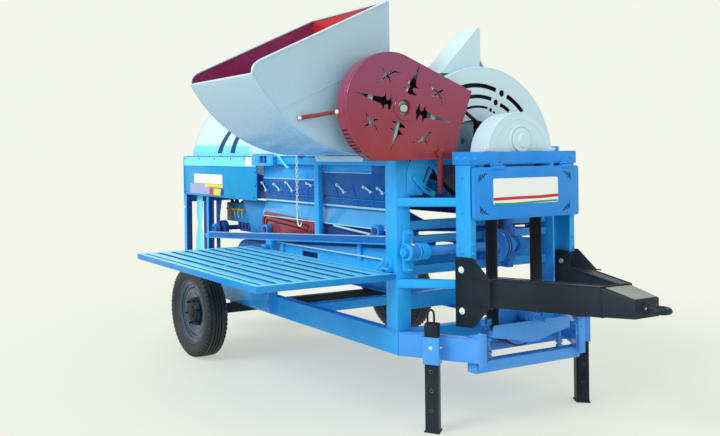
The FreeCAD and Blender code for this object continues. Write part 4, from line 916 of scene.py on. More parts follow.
def blades(middle, tips, waist=11):
    """A small cross of four curved blades round a middle point."""
    middle, points = Vector(middle), []
    around = sorted((Vector(tip) - middle for tip in tips), key=lambda v: math.atan2(v.y, v.x))
    for arm, following in zip(around, around[1:] + around[:1]):
        side, other = Vector((-arm.y, arm.x)), Vector((-following.y, following.x))
        points += [middle + arm, middle + arm * 0.5 + side * 0.10 + side.normalized() * 6,
            middle + (arm.normalized() + following.normalized()).normalized() * waist,
            middle + following * 0.5 + other * 0.10 - other.normalized() * 6]
    return [tuple(point) for point in points]


def guard_path(inset):
    """The guard's edge from its upper inner corner round to its lower inner corner."""
    curve = arc(GUARD_CENTRE, 345 - inset, 66, 250, 60)
    return [(-212 - inset * 0.3, 2105 - inset)] + curve + [(-385 - inset * 0.3, 1672 + inset)]


def feed_guard():
    front, rear = 2305, 2215
    holes = [spike(*values) for values in SPIKES] + [blades(*values) for values in CROSSES]
    add("feed_guard_pressed", GUARD_RED, plate("x", front - 3, front, guard_path(0), *holes,
        ring(STAR, 47, 32)), plate("x", rear, front - 3, guard_path(0) + guard_path(3)[::-1]),
        tube(at_x(front - 2, guard_path(2)), 3.5), tube(at_x(front - 20, guard_path(-0.5)), 2.2),
        turned([(-18, 56), (2, 80), (6, 78), (8, 52), (-18, 44)], (front, *STAR), OUT_X),
        block((front, -497, 1700), (front + 10, -452, 1740)), replaces=["feed_guard"])
    vents = [swing(GUARD_CENTRE, 345.5, 203 + 4.6 * i) for i in range(7)]
    # painted shade: near-black tubes for the dark openings of the vents
    add("guard_vents", SHADOW_BLACK, *[tube(level(rear + 16, front - 22, *vent), 4.2)
        for vent in vents], slot="guard_red")
    bolts("guard_bolts", [(front + 10, -474, 1720, OUT_X)], 7, GUARD_RED)
    add("guard_tie_bar", TIE_RED, beam((2128, -1436, 1929), (2222, -1215, 1966), 6, 26, 1),
        replaces=["guard_tie"])
    bolts("guard_tie_bolts", [(2131, -1424, 1931, OUT_X), (2226, -1219, 1966, OUT_X)], 11,
        WHITE_BOLT)
    add("guard_stay", TIE_RED, block((2306, -512, 1452), (2333, -488, 1704)),
        block((2305.5, -520, 1690), (2330, -480, 1722), 3), replaces=["guard_post"])
    # painted shade: a black sheet behind the pulley for the dark inside of the guard
    add("guard_inside", SHADOW_BLACK, plate("x", 2221.5, 2223.5, ring(FEED, 272, 64),
        ring(FEED, 24)), slot="guard_red")


def feed_pulley():
    """Pale spoked pulley with its belt groove, on the roller's shaft."""
    centre, axis, x = (2255, *FEED), (0, *FEED), 2255
    spokes = [beam((x, *swing(FEED, 55, angle)), (x, *swing(FEED, 240, angle)), 46, 22, 6)
        for angle in range(12, 372, 60)]
    rim = turned([(-20, 275), (-12, 275), (-7, 262), (7, 262), (12, 275), (20, 275), (20, 236),
        (-20, 236)], centre, OUT_X, 96)
    boss = turned([(-20, 62), (16, 62), (20, 56), (20, 21), (-20, 21)], centre, OUT_X)
    add("feed_pulley", WHITE_PAINT, rim, boss, *spokes, body="feeder", slot="steel",
        replaces=["feed_roller"])
    add("feed_shaft", STEEL, round_bar((1240, *FEED), (2285, *FEED), 20),
        turned([(2285, 0), (2285, 30), (2292, 29), (2298, 22), (2298, 0)], axis, OUT_X, 32),
        body="feeder")
    drum = turned([(1320, 21), (1320, 80), (2080, 80), (2080, 21)], axis, OUT_X, 40)
    fins = [beam((1700, *swing(FEED, 78, angle)), (1700, *swing(FEED, 94.8, angle)), 750, 6, 1)
        for angle in range(0, 360, 60)]
    add("feed_drum", DARK_STEEL, drum, *fins, body="feeder")


# ---------------------------------------------------------------- front door and portal
DOOR_LOW, DOOR_HIGH, DOOR_HALF, DOOR_FRONT = 1295, 1619, 455, 2566
HINGE_X, HINGE_Z = 2550, 1634


def tubes(radius, *lines, **more):
    return [tube(line, radius, **more) for line in lines]


def flanked(reach, points, facing=1):
    """Bolt places at (x, z) on both sides of the machine, facing out (1) or in (-1)."""
    return [(x, side * reach, z, (0, side * facing, 0)) for side in SIDES for x, z in points]


def door_plate(proud, thick, outline, edge=0.0):
    return plate("x", DOOR_FRONT + proud, DOOR_FRONT + proud + thick, outline, edge=edge)


def corner_fan(y, z, across, up):
    """A plain corner ornament of short strokes that spread from one point."""
    return [door_plate(0, 0.8, strip([(y + across * a, z + up * b) for a, b in stroke], 4.5))
        for stroke in (((4, 62), (10, 18)), ((12, 52), (22, 12)), ((30, 50), (14, 26)),
        ((26, 40), (40, 10)), ((50, 36), (30, 16)), ((46, 26), (62, 8)), ((76, 8), (50, 12)))]


def belt_door():
    outline = rounded_box(-DOOR_HALF, DOOR_LOW, DOOR_HALF, DOOR_HIGH, 22)
    inner = rounded_box(3.5 - DOOR_HALF, DOOR_LOW + 3.5, DOOR_HALF - 3.5, DOOR_HIGH - 3.5, 19)
    pieces = [door_plate(-3.5, 3.5, outline, 1.5), plate("x", 2544, DOOR_FRONT - 2, outline, inner)]
    for middle in (-255, 350):
        start, end = middle - 50, middle + 50
        pieces.append(round_bar((HINGE_X, start, HINGE_Z), (HINGE_X, end, HINGE_Z), 4, 0.8, 16))
        for low, high in ((start, middle - 17), (middle + 17, end)):
            pieces.append(round_bar((HINGE_X, low, HINGE_Z), (HINGE_X, high, HINGE_Z), 8, 1, 20))
            pieces.append(block((HINGE_X - 4, low, DOOR_HIGH - 20), (HINGE_X + 4, high, HINGE_Z),
                1))
        pieces.append(door_plate(0, 3.5, box(start, 1603, end, 1628), 1))
    add("belt_door_folded", DOOR_BLUE, *pieces, body="door", replaces=["belt_door"])
    add("blank_plate", PLATE_WHITE, door_plate(0, 1.2, rounded_box(-300, 1386, 262, 1548, 14)),
        body="door")
    for name, finish, path, width in (
            ("red", SIGN_RED, [(-300, 1420), (-100, 1423), (100, 1424), (262, 1430)], 19),
            ("green", SIGN_GREEN, [(-292, 1391), (-120, 1388), (80, 1394), (256, 1397)], 12)):
        add(f"plate_{name}_band", finish, door_plate(1.2, 0.6, strip(path, width)), body="door",
            slot="guard_red")
    fans = [corner_fan(*place) for place in (
        (-415, 1322, 1, 1), (375, 1322, -1, 1), (-425, 1588, 1, -1), (385, 1588, -1, -1))]
    add("door_corner_marks", BLACK_PAINT, *sum(fans, []), body="door")


def portal_details():
    posts = [(2530, y, z, OUT_X) for y in (-434, 434) for z in (1145, 1088)]
    bolts("portal_bolts", [(2538, -420, 1672, OUT_X), *posts, (2538, 425, 1672, OUT_X)], 8,
        BODY_BLUE)
    bolts("portal_side_bolts", flanked(455, ((2465, 1560), (2462, 1339), (2460, 1093)))
        + flanked(467, ((2435, 1672), (2505, 1672))), 11, BODY_BLUE)
    welds = []
    for side in SIDES:
        y = side * 455.2
        welds.append(level(2407, 2528, y, 1634))
        for low, high in ((1373, 1428), (858, 913)):
            welds.append([(2404.5, y, low), (2404.5, y, high)])
            welds.append([(2195.5, side * 748, low), (2195.5, side * 748, high)])
    add("portal_welds", BODY_BLUE, *tubes(3.5, *welds))
    add("portal_brackets", BODY_BLUE, *[block((2330, y - 20, 1714), (2415, y + 20, 1724))
        for y in (-200, 190)], block((2305, 360, 1714.2), (2405, 466, 1745), 3))


# ---------------------------------------------------------------- drawbar and hitch ring
HITCH = (3440, 0, 853)


def drawbar():
    eye = primitive("torus", spot(*HITCH), major_radius=0.0442, minor_radius=0.0182,
        major_segments=64, minor_segments=24)
    neck = turned([(-62, 0), (-62, 28), (-50, 27.5), (-28, 22), (-12, 17), (-12, 0)], HITCH, OUT_X,
        32)
    add("hitch_ring", BLACK_PAINT, eye, neck, replaces=["hitch_eye"])
    add("hitch_collar", BLACK_PAINT, turned(
        [(-140, 0), (-140, 36), (-78, 36), (-74, 32), (-58, 30), (-58, 0)], HITCH, OUT_X, 40))
    bolts("hitch_pin", [(3385, -30, 853, OUT_NEAR)], 8)
    places = ((2462, 985), (2466, 731))
    bolts("drawbar_bolts", flanked(467, places), 16, WHITE_BOLT, 0.2)
    bolts("drawbar_nuts", flanked(409, places, -1), 14)
    welds = []
    for side in SIDES:
        welds += tubes(4, [(2545, side * 468, 782), (2718, side * 468, 784)],
            level(2545, 2718, side * 468, 948))
        welds.append(tube([(2630, side * 456, 951), (3176, side * 134, 951)], 3.5))
        welds.append(tube([(2560, side * 374, 951), (3152, side * 52, 951)], 3))
    ridge = [(3182, -128, 951), (3184, -60, 953), (3180, 0, 952), (3184, 60, 953), (3182, 128, 951)]
    welds.append(tube(ridge, 4.5, smooth=True))
    welds += [tube([(3180, y, 782), (3180, y, 948)], 4) for y in (-130, 130)]
    add("drawbar_welds", BLACK_PAINT, *welds)
    patch = plate("z", 0, 1.2, [(3192, -106), (3362, -90), (3362, 90), (3192, 106)])
    with edit(patch, "SELECT"):
        bpy.ops.mesh.subdivide(number_cuts=6)
    top, start, fall = 0.9502, AXLE_X + 3.180, 0.237
    for vertex in patch.data.vertices:  # laid on the nose, which falls towards the ring
        vertex.co.z += top - (vertex.co.x - start) * fall
    add("nose_worn_top", WORN_BLACK, patch)


# ---------------------------------------------------------------- support legs
SLEEVE_ANGLE = math.atan2(295, 405)
LEG_X, LEG_Y, LEG_HALF, SLEEVE_HALF = 2405.77, 656.48, 40, 48.5
HOLE_HEIGHTS, HOLE_RADIUS = (375, 258, 138), 8.5


def leg_way(side, out, along):
    """Out from the beam's outer face and along the beam, as (x, y, 0)."""
    sine, cosine = math.sin(SLEEVE_ANGLE), math.cos(SLEEVE_ANGLE)
    return out * sine + along * cosine, side * (out * cosine - along * sine), 0


def leg_spot(side, out, along, z):
    """A place measured from a leg's middle."""
    x, y, _ = leg_way(side, out, along)
    return LEG_X + x, side * LEG_Y + y, z


def leg_square(side, half, z):
    return [leg_spot(side, *corner, z) for corner in box(-half, -half, half, half)]


def support_leg(name, side):
    body = f"leg_{name}"
    soften_node(f"support_leg_{name}", 4)
    grip = [leg_spot(side, 34, along, z) for along, z in (
        (-20, 655), (-20, 700), (-19, 735), (-10, 752), (10, 752), (19, 735), (20, 700), (20, 655))]
    add(f"leg_fittings_{name}", BLACK_PAINT, plate("z", 0, 10,
        [corner[:2] for corner in leg_square(side, 46, 0)], edge=2),
        tube(leg_square(side, LEG_HALF, 11.5), 3, closed=True), tube(grip, 6.5, smooth=True),
        body=body)
    places = [(leg_spot(side, *way, z), leg_way(side, *way)) for z in HOLE_HEIGHTS
        for way in ((0, LEG_HALF), (LEG_HALF, 0))]
    # painted shade: thin black discs for the dark inside of the pin holes
    add(f"leg_holes_{name}", SHADOW_BLACK, *[primitive("cylinder", spot(*place), Vector(way),
        edge=0.1, vertices=20, radius=HOLE_RADIUS / 1000, depth=0.0006) for place, way in places],
        body=body)
    add(f"leg_hole_edges_{name}", WORN_BLACK, *[turned([(0, 8.8), (0.4, 9.5), (0, 10.5)], place,
        way, 20) for place, way in places], body=body)
    half = SLEEVE_HALF
    bolts(f"sleeve_bolts_{name}", [(*leg_spot(side, *way, 520), leg_way(side, *way))
        for way in ((0, half), (half, 0))], 9)
    rims = [tube(leg_square(side, half, z), 2.2, closed=True) for z in (422, 583)]
    rims += [tube([leg_spot(side, 2 - half, along, z) for z in (435, 575)], 4.5)
        for along in (-half, half)]
    add(f"sleeve_edges_{name}", NOSE_BLUE, *rims)


# ---------------------------------------------------------------- nose, tension frame and input
def nose_details():
    pieces, welds = [], []
    for side in SIDES:
        pieces.append(plate("x", 2588, 2601.2, [(side * 458, 395), (side * 404, 395),
            (side * 404, 606), (side * 458, 617)], edge=1))
        pieces.append(plate("y", *sorted((side * 455, side * 461)), [(2545, 430), (2590, 430),
            (2590, 612), (2500, 583)], edge=1.5))
    add("nose_end_plates", NOSE_BLUE, *pieces)
    for side in SIDES:
        bead = [(2085 + 11 * i, side * (752 + 1.2 * (i % 2)), 581) for i in range(11)]
        welds.append(tube(bead, 4.5, smooth=True))
        welds.append(tube([(2195, side * 751, 432), (2195, side * 751, 578)], 4.5))
        welds.append(tube([(2196 + 390 * t, side * (750.5 - 284 * t), 581) for t in (0, 0.5, 1)],
            3))
        welds.append(tube(level(2492, 2558, side * 445, 429), 4))
    add("nose_welds", NOSE_BLUE, *welds)
    bolts("nose_bolts", [(2600, side * 422, z, OUT_X) for side in SIDES for z in (425, 575)], 8,
        BODY_BLUE)


def nipple(radius, neck, foot, rise, top):
    """Outline of a grease nipple."""
    return [(0, 0), (0, radius), (foot, radius), (foot + 2, neck), (rise, neck), (top, 0)]


def tension_details():
    front = 2580
    low = [(332, 575), (200, 552), (160, 546), (65, 520), (0, 514), (-65, 520), (-160, 546),
        (-335, 575)]
    shape = arc((312, 628), 20, 0, 90, 6) + arc((-315, 628), 20, 90, 180, 6) + low[::-1]
    add("tension_plate", NOSE_BLUE, plate("x", front, front + 8, shape, edge=2),
        tube(at_x(front + 8, low), 2))
    nut = [(0, 12), (0, 21), (4, 22), (14, 22), (16, 20), (16, 12)]
    threads = []
    for y in (-313, 305):
        threads += [turned(nut, (2525, y, z), UP, 6) for z in (437, 463, 546, 642.5, 662)]
        threads += [turned([(0, 10.5), (2, 12.2), (4, 10.5)], (2525, y, 450 + 4 * i), UP, 12)
            for i in range(34)]
    add("tension_rod_threads", BLUE_METAL, *threads)
    bolts("input_bearing_bolts", [(x, y, 630, UP) for x in (2317, 2550) for y in (-85, 85)], 12,
        CAST_PAINT)
    seal = [(0, 31.5), (0, 44), (4, 46), (6, 42), (2, 36), (3, 31.5)]
    seals = []
    for rear, front in ((2290, 2345), (2525, 2575)):
        seals += [turned(seal, (x, 0, 670), way, 32)
            for x, way in ((rear, OUT_BACK), (front, OUT_X))]
        seals.append(turned(nipple(6, 3.5, 6, 14, 16), ((rear + front) / 2, 0, 719), UP, 12))
    add("input_bearing_seals", CAST_PAINT, *seals)


# ---------------------------------------------------------------- counter shaft
COUNTER_X, COUNTER_Z = 2255, 1088


def on_counter(profile, y, way=OUT_FAR, steps=40):
    return turned(profile, (COUNTER_X, y, COUNTER_Z), way, steps)


def counter_details():
    """Flange bearing with its nuts and nipple, collars, and the two-groove pulley."""
    add("counter_flange", BODY_BLUE,
        plate("x", 2195, 2219, rounded_box(-712, 950, -632, 1226, 26), edge=3),
        on_counter([(0, 30.5), (0, 52), (4, 56), (16, 56), (22, 50), (22, 41), (16, 39),
            (16, 30.5)], -710, OUT_NEAR),
        turned(nipple(8, 4, 6, 18, 21), (COUNTER_X, -680, COUNTER_Z + 53), UP, 12),
        on_counter([(0, 30.5), (0, 54), (4, 57), (10, 54), (10, 30.5)], -650), slot="cast_iron")
    bolts("counter_flange_nuts", [(2219, -672, z, OUT_X) for z in (972, 1204)], 12, BODY_BLUE, 1.6)
    add("counter_end_nut", BODY_BLUE, on_counter([(0, 0), (0, 28), (4, 30), (18, 30), (22, 26),
        (22, 15), (28, 14), (28, 0)], -735, OUT_NEAR, 6), body="counter", slot="steel")
    add("grease_mark", SIGN_YELLOW, turned([(0, 0), (0, 12), (1.5, 11), (1.5, 0)],
        (COUNTER_X + 26, -690, COUNTER_Z + 48.5), (0.5, 0, 0.85), 20), slot="cast_iron")
    collars = []
    for y, long in ((-626, 61), (130, 40)):
        collars.append(on_counter([(0, 30.2), (0, 48), (4, 52), (long - 4, 52), (long, 48),
            (long, 30.2)], y))
    for turn in (0.6, 3.0):  # grub screws
        x, z = math.cos(turn), math.sin(turn)
        collars.append(turned([(0, 0), (0, 7), (3, 7), (3, 0)],
            (COUNTER_X + 52 * x, -596, COUNTER_Z + 52 * z), (x, 0, z), 6))
    add("counter_collars", BODY_BLUE, *collars, body="counter", slot="steel")
    pulley = [(28, 30), (28, 106), (31, 110), (34, 110), (38, 96), (46, 96), (50, 110), (56, 110),
        (60, 96), (68, 96), (72, 110), (75, 110), (78, 106), (78, 92), (62, 86), (62, 52),
        (120, 48), (120, 30), (-15, 30), (-15, 48), (44, 52), (44, 86)]
    add("counter_shaft_turned", COUNTER_BLUE,
        round_bar((COUNTER_X, -735, COUNTER_Z), (COUNTER_X, 275, COUNTER_Z), 30, 3, 48),
        on_counter(pulley, 0, steps=72), body="counter", replaces=["counter_shaft"])
    add("counter_belts", BELT, *[on_counter([(0, 95), (0, 105), (7, 105), (7, 95)], y, steps=64)
        for y in (38.5, 60.5)], body="counter")
    add("counter_thin_belt", BELT, plate("y", 55, 100, box(2256.5, 1175, 2263.5, 1265)))


def adjusting_quadrant():
    """Slotted quadrant on the post with its clamp bolts."""
    front, centre = 2203, (-560, 1500)
    bolts("quadrant_bolts", [(front, y, z, OUT_X)
        for y, z in ((-548, 1492), (-478, 1590), (-610, 1560))], 10, BODY_BLUE)
    add("quadrant_leaf", BODY_BLUE,
        plate("x", front, front + 5, arc(centre, 150, 20, 78, 14) + arc(centre, 185, 78, 20, 14),
            edge=1),
        plate("x", front + 5, front + 10, strip([(-615, 1560), (-520, 1470), (-445, 1440)], 40),
            strip([(-535, 1490), (-480, 1458)], 10), edge=1))


def main_belt():
    """The main belt, as four V-belts."""
    def loop(reach):
        return arc((0, 1750), reach, 0, 180, 36) + arc((0, 670), reach, 180, 360, 36)

    middles = [2395 + 23.75 * (i + 0.5) for i in range(4)]
    add("main_v_belts", BELT, *[plate("x", x - 10.5, x + 10.5, loop(199.5), loop(190.6), edge=1.2)
        for x in middles], replaces=["main_belt"])


# ---------------------------------------------------------------- near side of the body
SHEET_Y = -754
RAIL_SLOPE = 0.0695


def sheet_patch(name, outline, y, finish, slot="hood_white"):
    """A thin plate stuck flat on the near side."""
    add(name, finish, plate("y", y - 0.8, y, outline), slot=slot)


def near_panel():
    y = SHEET_Y - 1
    sheet_patch("near_panel_upper_band", box(-960, 1606, 446, 1686), y + 0.6, STEP_BLUE,
        "sheet_blue")
    add("near_panel_folds", SHEET_BLUE, tube(level(-955, 442, SHEET_Y, 1603), 3.5),
        tube(level(-960, 445, y, 1330), 4.5), *[tube([(x, y, 1332), (x, y, 1686)], 4)
        for x in (447, -961)])
    rivets = [(x, 1672) for x in (-930, -620, -310, 0, 240)] + [(x, 1352) for x in (-930, 50, 400)]
    bolts("near_panel_bolts", [(x, y, z, OUT_NEAR) for x, z in rivets + [(425, 1450), (425, 1560)]],
        6, SHEET_BLUE)
    y = SHEET_Y - 1.2
    sheet_patch("near_blank_plate", rounded_box(-735, 1445, -160, 1530, 4), y, PLATE_WHITE)
    sheet_patch("near_lilac_band", [(-820, 1345), (-410, 1345), (-410, 1405), (-500, 1442),
        (-820, 1442)], y, SIGN_LILAC)
    sheet_patch("near_yellow_line", box(-504, 1414, -152, 1442), y - 0.8, SIGN_YELLOW)
    for name, left, right, finish in (("red", -410, -340, SIGN_RED),
            ("yellow", -340, -200, SIGN_YELLOW), ("dark", -200, -145, DEEP_BLUE)):
        sheet_patch(f"near_{name}_block", [(left, 1345), (right, 1345), (right + 12, 1402),
            (left + 12, 1402)], y - 0.8, finish)
    sheet_patch("near_white_tab", box(262, 1612, 365, 1684), y, PLATE_WHITE)


def inlet_block():
    """Raised housing with a window on the top rail, and the stay beside it."""
    outline = [(420, 1622), (420, 1700), (450, 1714), (715, 1714), (757, 1690), (757, 1622)]
    add("inlet_block", BODY_BLUE,
        plate("y", -786, -752, outline, box(544, 1640, 661, 1696), edge=2),
        block((470, -792, 1618), (740, -752, 1624), 1),
        block((598, -782, 1640), (606, -760, 1696), 1))
    # painted shade: a dark blue plate inside the housing's window
    add("inlet_block_inside", DEEP_BLUE, plate("y", -758, -752.5, box(535, 1632, 670, 1703)))
    add("inlet_stay", STEP_BLUE, tube(
        [(772, -765, 1706), (800, -768, 1704), (930, -768, 1612), (948, -758, 1606)], 9),
        slot="body_blue")
    bolts("inlet_block_bolts", [(470, -786, 1668, OUT_NEAR), (715, -786, 1660, OUT_NEAR)], 7,
        STEP_BLUE, slot="body_blue")


def leaning_sheet(spans, top, low):
    """Sheets between posts that lean from a (y, z) top edge to a (y, z) low edge."""
    section = [top, (top[0] + 3, top[1]), (low[0] + 3, low[1]), low]
    return [plate("x", start, end, section, edge=0.6) for start, end in spans]


def bar_handle(start, end):
    """A bent bar between two round bosses, on a sheet of the near side."""
    (x0, z0), (x1, z1), y = start, end, -708
    boss = [(0, 0), (0, 12), (6, 11), (9, 7), (9, 0)]
    return [tube([(x0, -690, z0), (x0, y, z0), (x1, y, z1), (x1, -690, z1)], 6.5),
        *[turned(boss, (x, y - 4, z), OUT_NEAR, 16) for x, z in (start, end)]]


NEAR_BAY, FRONT_BAY = (455, 1276), (1277, 2083)
LATCHES = [((457, 1477), (522, 1414)), ((646, 1470), (725, 1426)), ((827, 1488), (917, 1425)),
    ((1121, 1488), (1177, 1474)), ((1505, 1489), (1587, 1441)), ((1811, 1483), (1887, 1453)),
    ((1961, 1479), (2013, 1449))]


def side_screens():
    """Upper strip, leaning screens in a dark blue of painted shade, latches and folded edges in a
    pale blue of painted highlight, and the bright grain apron below.
    """
    bays = (NEAR_BAY, FRONT_BAY)
    add("side_upper_strips", BODY_BLUE,
        *leaning_sheet([NEAR_BAY], (-693.5, 1628), (-693.5, 1515)),
        *leaning_sheet([(1277, 1878)], (-693.5, 1652), (-693.5, 1577)))
    # painted shade: the leaning screens and the dark corner by the post are painted dark blue
    add("side_screens", PAINTED_SHADE_BLUE,
        *leaning_sheet([(363, 1276)], (-692.5, 1518), (-668, 1340)),
        *leaning_sheet([FRONT_BAY], (-692.5, 1580), (-668, 1340)),
        *leaning_sheet([(1878, 2083)], (-692.5, 1655), (-692.5, 1578)))
    add("grain_apron", APRON_BLUE,
        *leaning_sheet([(424, 1276), FRONT_BAY], (-650, 1334), (-693, 1205)))
    add("grain_cheek", SHEET_BLUE, plate("y", -664, -660, [(30, 1325), (460, 1325), (460, 1060),
        (190, 1050), (120, 1200)], edge=1))
    edges = tubes(8, *[level(*bay, -674, 1338) for bay in bays])
    edges += tubes(4.2, level(*NEAR_BAY, -694.5, 1515), level(1319, 1878, -694.5, 1577))
    edges += tubes(4.5, *[level(*bay, -694, 1206) for bay in bays])
    edges.append(tube([(640, -691.5, 1005), (1995, -691.5, 1012)], 6))
    # painted highlight: the folded edges are pale blue
    add("side_folded_edges", PAINTED_HIGHLIGHT_BLUE, *edges)
    # painted shade: the screens' folds in the same dark blue
    add("side_screen_folds", PAINTED_SHADE_BLUE, *tubes(2.8, *[[(x, -690, 1500), (x + 50, -670, 1350)]
        for x in (600, 780, 985, 1440, 1650, 1830)]))
    # painted highlight: the latches are pale blue
    add("side_latches", PAINTED_HIGHLIGHT_BLUE, *sum([bar_handle(*ends) for ends in LATCHES], []), slot="steel")


def lower_guard():
    """Ribs and shaded slots pressed into the red belt guard, following its round end."""
    shell = copy_of_node("lower_belt_guard")
    for vertex in shell.data.vertices:  # a little shorter in front
        if vertex.co.x - AXLE_X > 1.20:
            vertex.co.x -= 0.062
    add("lower_guard_shell", LOW_GUARD_RED, round_edges(shell, 3), replaces=["lower_belt_guard"])
    ribs, slots = [], []
    for rise in (0, 36):
        path = [(452 + rise, 1128), (452 + rise, 1165), (458 + rise, 1186 - rise * 0.4),
            (476 + rise, 1204 - rise * 0.7), (505 + rise, 1213 - rise),
            (1085 - rise * 0.6, 1178 - rise), (1108 - rise * 0.6, 1164 - rise)]
        ribs.append(tube([(x, -690.5, z + 4) for x, z in path], 6))
        slots.append(tube([(x + 3, -690.5, z - 7) for x, z in path], 5.5))
    add("lower_guard_ribs", LOW_GUARD_RED, *ribs)
    # painted shade: near-black tubes for the dark inside of the pressed slots
    add("lower_guard_slots", SHADOW_BLACK, *slots, slot="guard_red")
    edge = ((424, 1060), (424, 1160), (432, 1196), (452, 1222), (485, 1237), (1100, 1213),
        (1206, 1208))
    add("lower_guard_edge", LOW_GUARD_RED, tube([(x, -690, z) for x, z in edge], 4.2))
    bolts("lower_guard_bolts", [(560, -690, 1085, OUT_NEAR), (1170, -690, 1125, OUT_NEAR)], 8,
        LOW_GUARD_RED)


def hook_chain():
    """Short chain with a hook, hung from the hopper's foot."""
    x, y, top, pitch, count = 1100, -784, 1690, 24.5, 17
    path = arc((0, 8.5), 7.5, 0, 180, 8) + arc((0, -8.5), 7.5, 180, 360, 8)
    link = tube(at_x(0, path), 2.8, closed=True, sides=2)
    link.data.transform(Matrix.Translation(-spot(0, 0, 0)))
    places = [Matrix.Translation(spot(x, y, top - pitch * i - 12)) @ turn_z(35 + 90 * (i % 2))
        for i in range(count)]
    add("hook_chain", WHITE_BOLT, repeated(link, places))
    end = top - pitch * count
    hook = [(x, y, end + 6), (x, y, end - 50), (x + 4, y, 1200), (x + 14, y, 1180),
        (x + 32, y, 1171), (x + 50, y, 1180), (x + 56, y, 1200)]
    add("chain_hook", WHITE_BOLT, tube(hook, 5.5, smooth=True))
    add("chain_tab", WHITE_PAINT, block((1075, -796, 1694.5), (1128, -742, 1701), 1.5))


def rear_bay():
    """Sheets seen between the rear posts, with uprights and fins painted dark blue as painted
    shade, and the fittings inside.
    """
    y = -672
    inner = [(-446, 620), (-370, 620), (-375, 1150), (-330, 1322), (-446, 1322)]
    # painted shade: dark blue uprights seen in the bay
    add("rear_bay_uprights", DEEP_BLUE, plate("y", y, y + 3, box(-705, 584, -494, 1322), edge=1),
        plate("y", y, y + 3, inner, edge=1))
    add("rear_bay_strip", STEP_BLUE, plate("y", y - 4, y - 1, [(-870, 584), (-717, 584),
        (-717, 900), (-760, 1040), (-723, 1160), (-717, 1322), (-840, 1322), (-857, 1160),
        (-827, 1040), (-870, 900)], edge=1))
    add("rear_bay_mark", PLATE_WHITE, block((-978, -751.5, 1196), (-945, -750.2, 1210), 0.5))
    add("inner_box", SHEET_BLUE, block((-520, -520, 1092), (-100, -440, 1262), 3))
    # painted shade: dark blue fins under the inner box
    add("inner_fins", DEEP_BLUE, *[block((x, -525, 1040), (x + 30, -450, 1092))
        for x in range(-300, 10, 62)], block((-310, -500, 1010), (60, -445, 1042)))
    knobs = []
    for x, high in ((-470, 30), (-425, 18), (-340, 34), (-275, 16), (-200, 26)):
        knobs.append(turned([(0, 0), (0, 16), (10, 16), (14, 10), (high, 9), (high, 0)],
            (x, -520, 1205), OUT_NEAR, 20))
        knobs.append(tube([(x, -535, 1200), (x + 12, -545, 1160), (x + 6, -530, 1130)], 4))
    add("inner_fittings", SIGN_YELLOW, *knobs, slot="steel")
    cap = [(0, 0), (0, 30), (12, 30), (18, 22), (18, 0)]
    add("inner_caps", BLACK_PAINT, *[turned(cap, (x, -500, z), OUT_NEAR, 24)
        for x, z in ((-440, 1262), (-350, 1270), (-240, 1258))])


def platform_floor():
    """Flat sheet under the slats, and the stays of the front hinge."""
    add("platform_under_sheet", DOOR_BLUE, block((396, -1729, 937.5), (2144, -811, 940.5), 0.8),
        body="step_platform", slot="sheet_blue")
    leaf = [(2070, 952), (2150, 952), (2150, 1040), (2100, 1055), (2070, 1020)]
    add("front_hinge_stay", BODY_BLUE, beam((1955, -757, 922), (2078, -757, 1022), 8, 26, 1),
        plate("y", -755.5, -750.5, leaf, edge=1))
    bolts("front_hinge_bolt", [(2109, -755.5, 1006, OUT_NEAR)], 13, BODY_BLUE)
    add("chassis_strap", DOOR_BLUE,
        plate("y", -754.5, -750.5, [(588, 444), (738, 450), (738, 640), (588, 610)], edge=1.5))
    # painted highlight: the shaker rod is pale blue
    add("shaker_rod", PAINTED_HIGHLIGHT_BLUE, round_bar((1434, -690, 1195), (1858, -690, 1165), 8), slot="steel")
    feet = [(x, side * 717.5, 1025.5 + RAIL_SLOPE * x, UP) for middle in (-370, 545, 1965)
        for side in SIDES for x in (middle - 55, middle + 55)]
    bolts("rail_bearing_bolts", feet, 10, BODY_BLUE)


def rail_face():
    """Painted shade on the face of the sloping rail, a painted highlight along its edge, and dark
    plates of painted shade below the apron and in the rear bay.
    """
    start, end = [(x, 1031 + RAIL_SLOPE * x) for x in (-448, 2083)]
    corners = [(x, z + rise) for (x, z), rise in ((start, -45), (end, -45), (end, -2), (start, -2))]
    # painted shade: a dark strip laid on the rail's face
    add("rail_face", PAINTED_SHADE_BLUE, plate("y", -751.5, -750.3, corners))
    # painted highlight: a pale line along the rail's edge
    add("rail_edge", PAINTED_HIGHLIGHT_BLUE, tube([(x, -750.6, z) for x, z in (start, end)], 2.8))
    # painted shade: dark plates that fill the see-through gaps below the apron and in the rear bay
    add("shaded_plates", DEEP_BLUE,
        plate("y", -663, -660, [(1250, 1080), (2080, 1140), (2080, 1204), (1250, 1204)]),
        plate("y", 560, 563, [(-400, 985), (520, 1000), (520, 1322), (-400, 1322)]))


# ---------------------------------------------------------------- far side, back and top
KNOB = [(0, 0), (0, 14), (8, 13), (14, 7), (14, 0)]
CATCH = [(0, 0), (0, 13), (8, 12), (14, 7), (14, 0)]


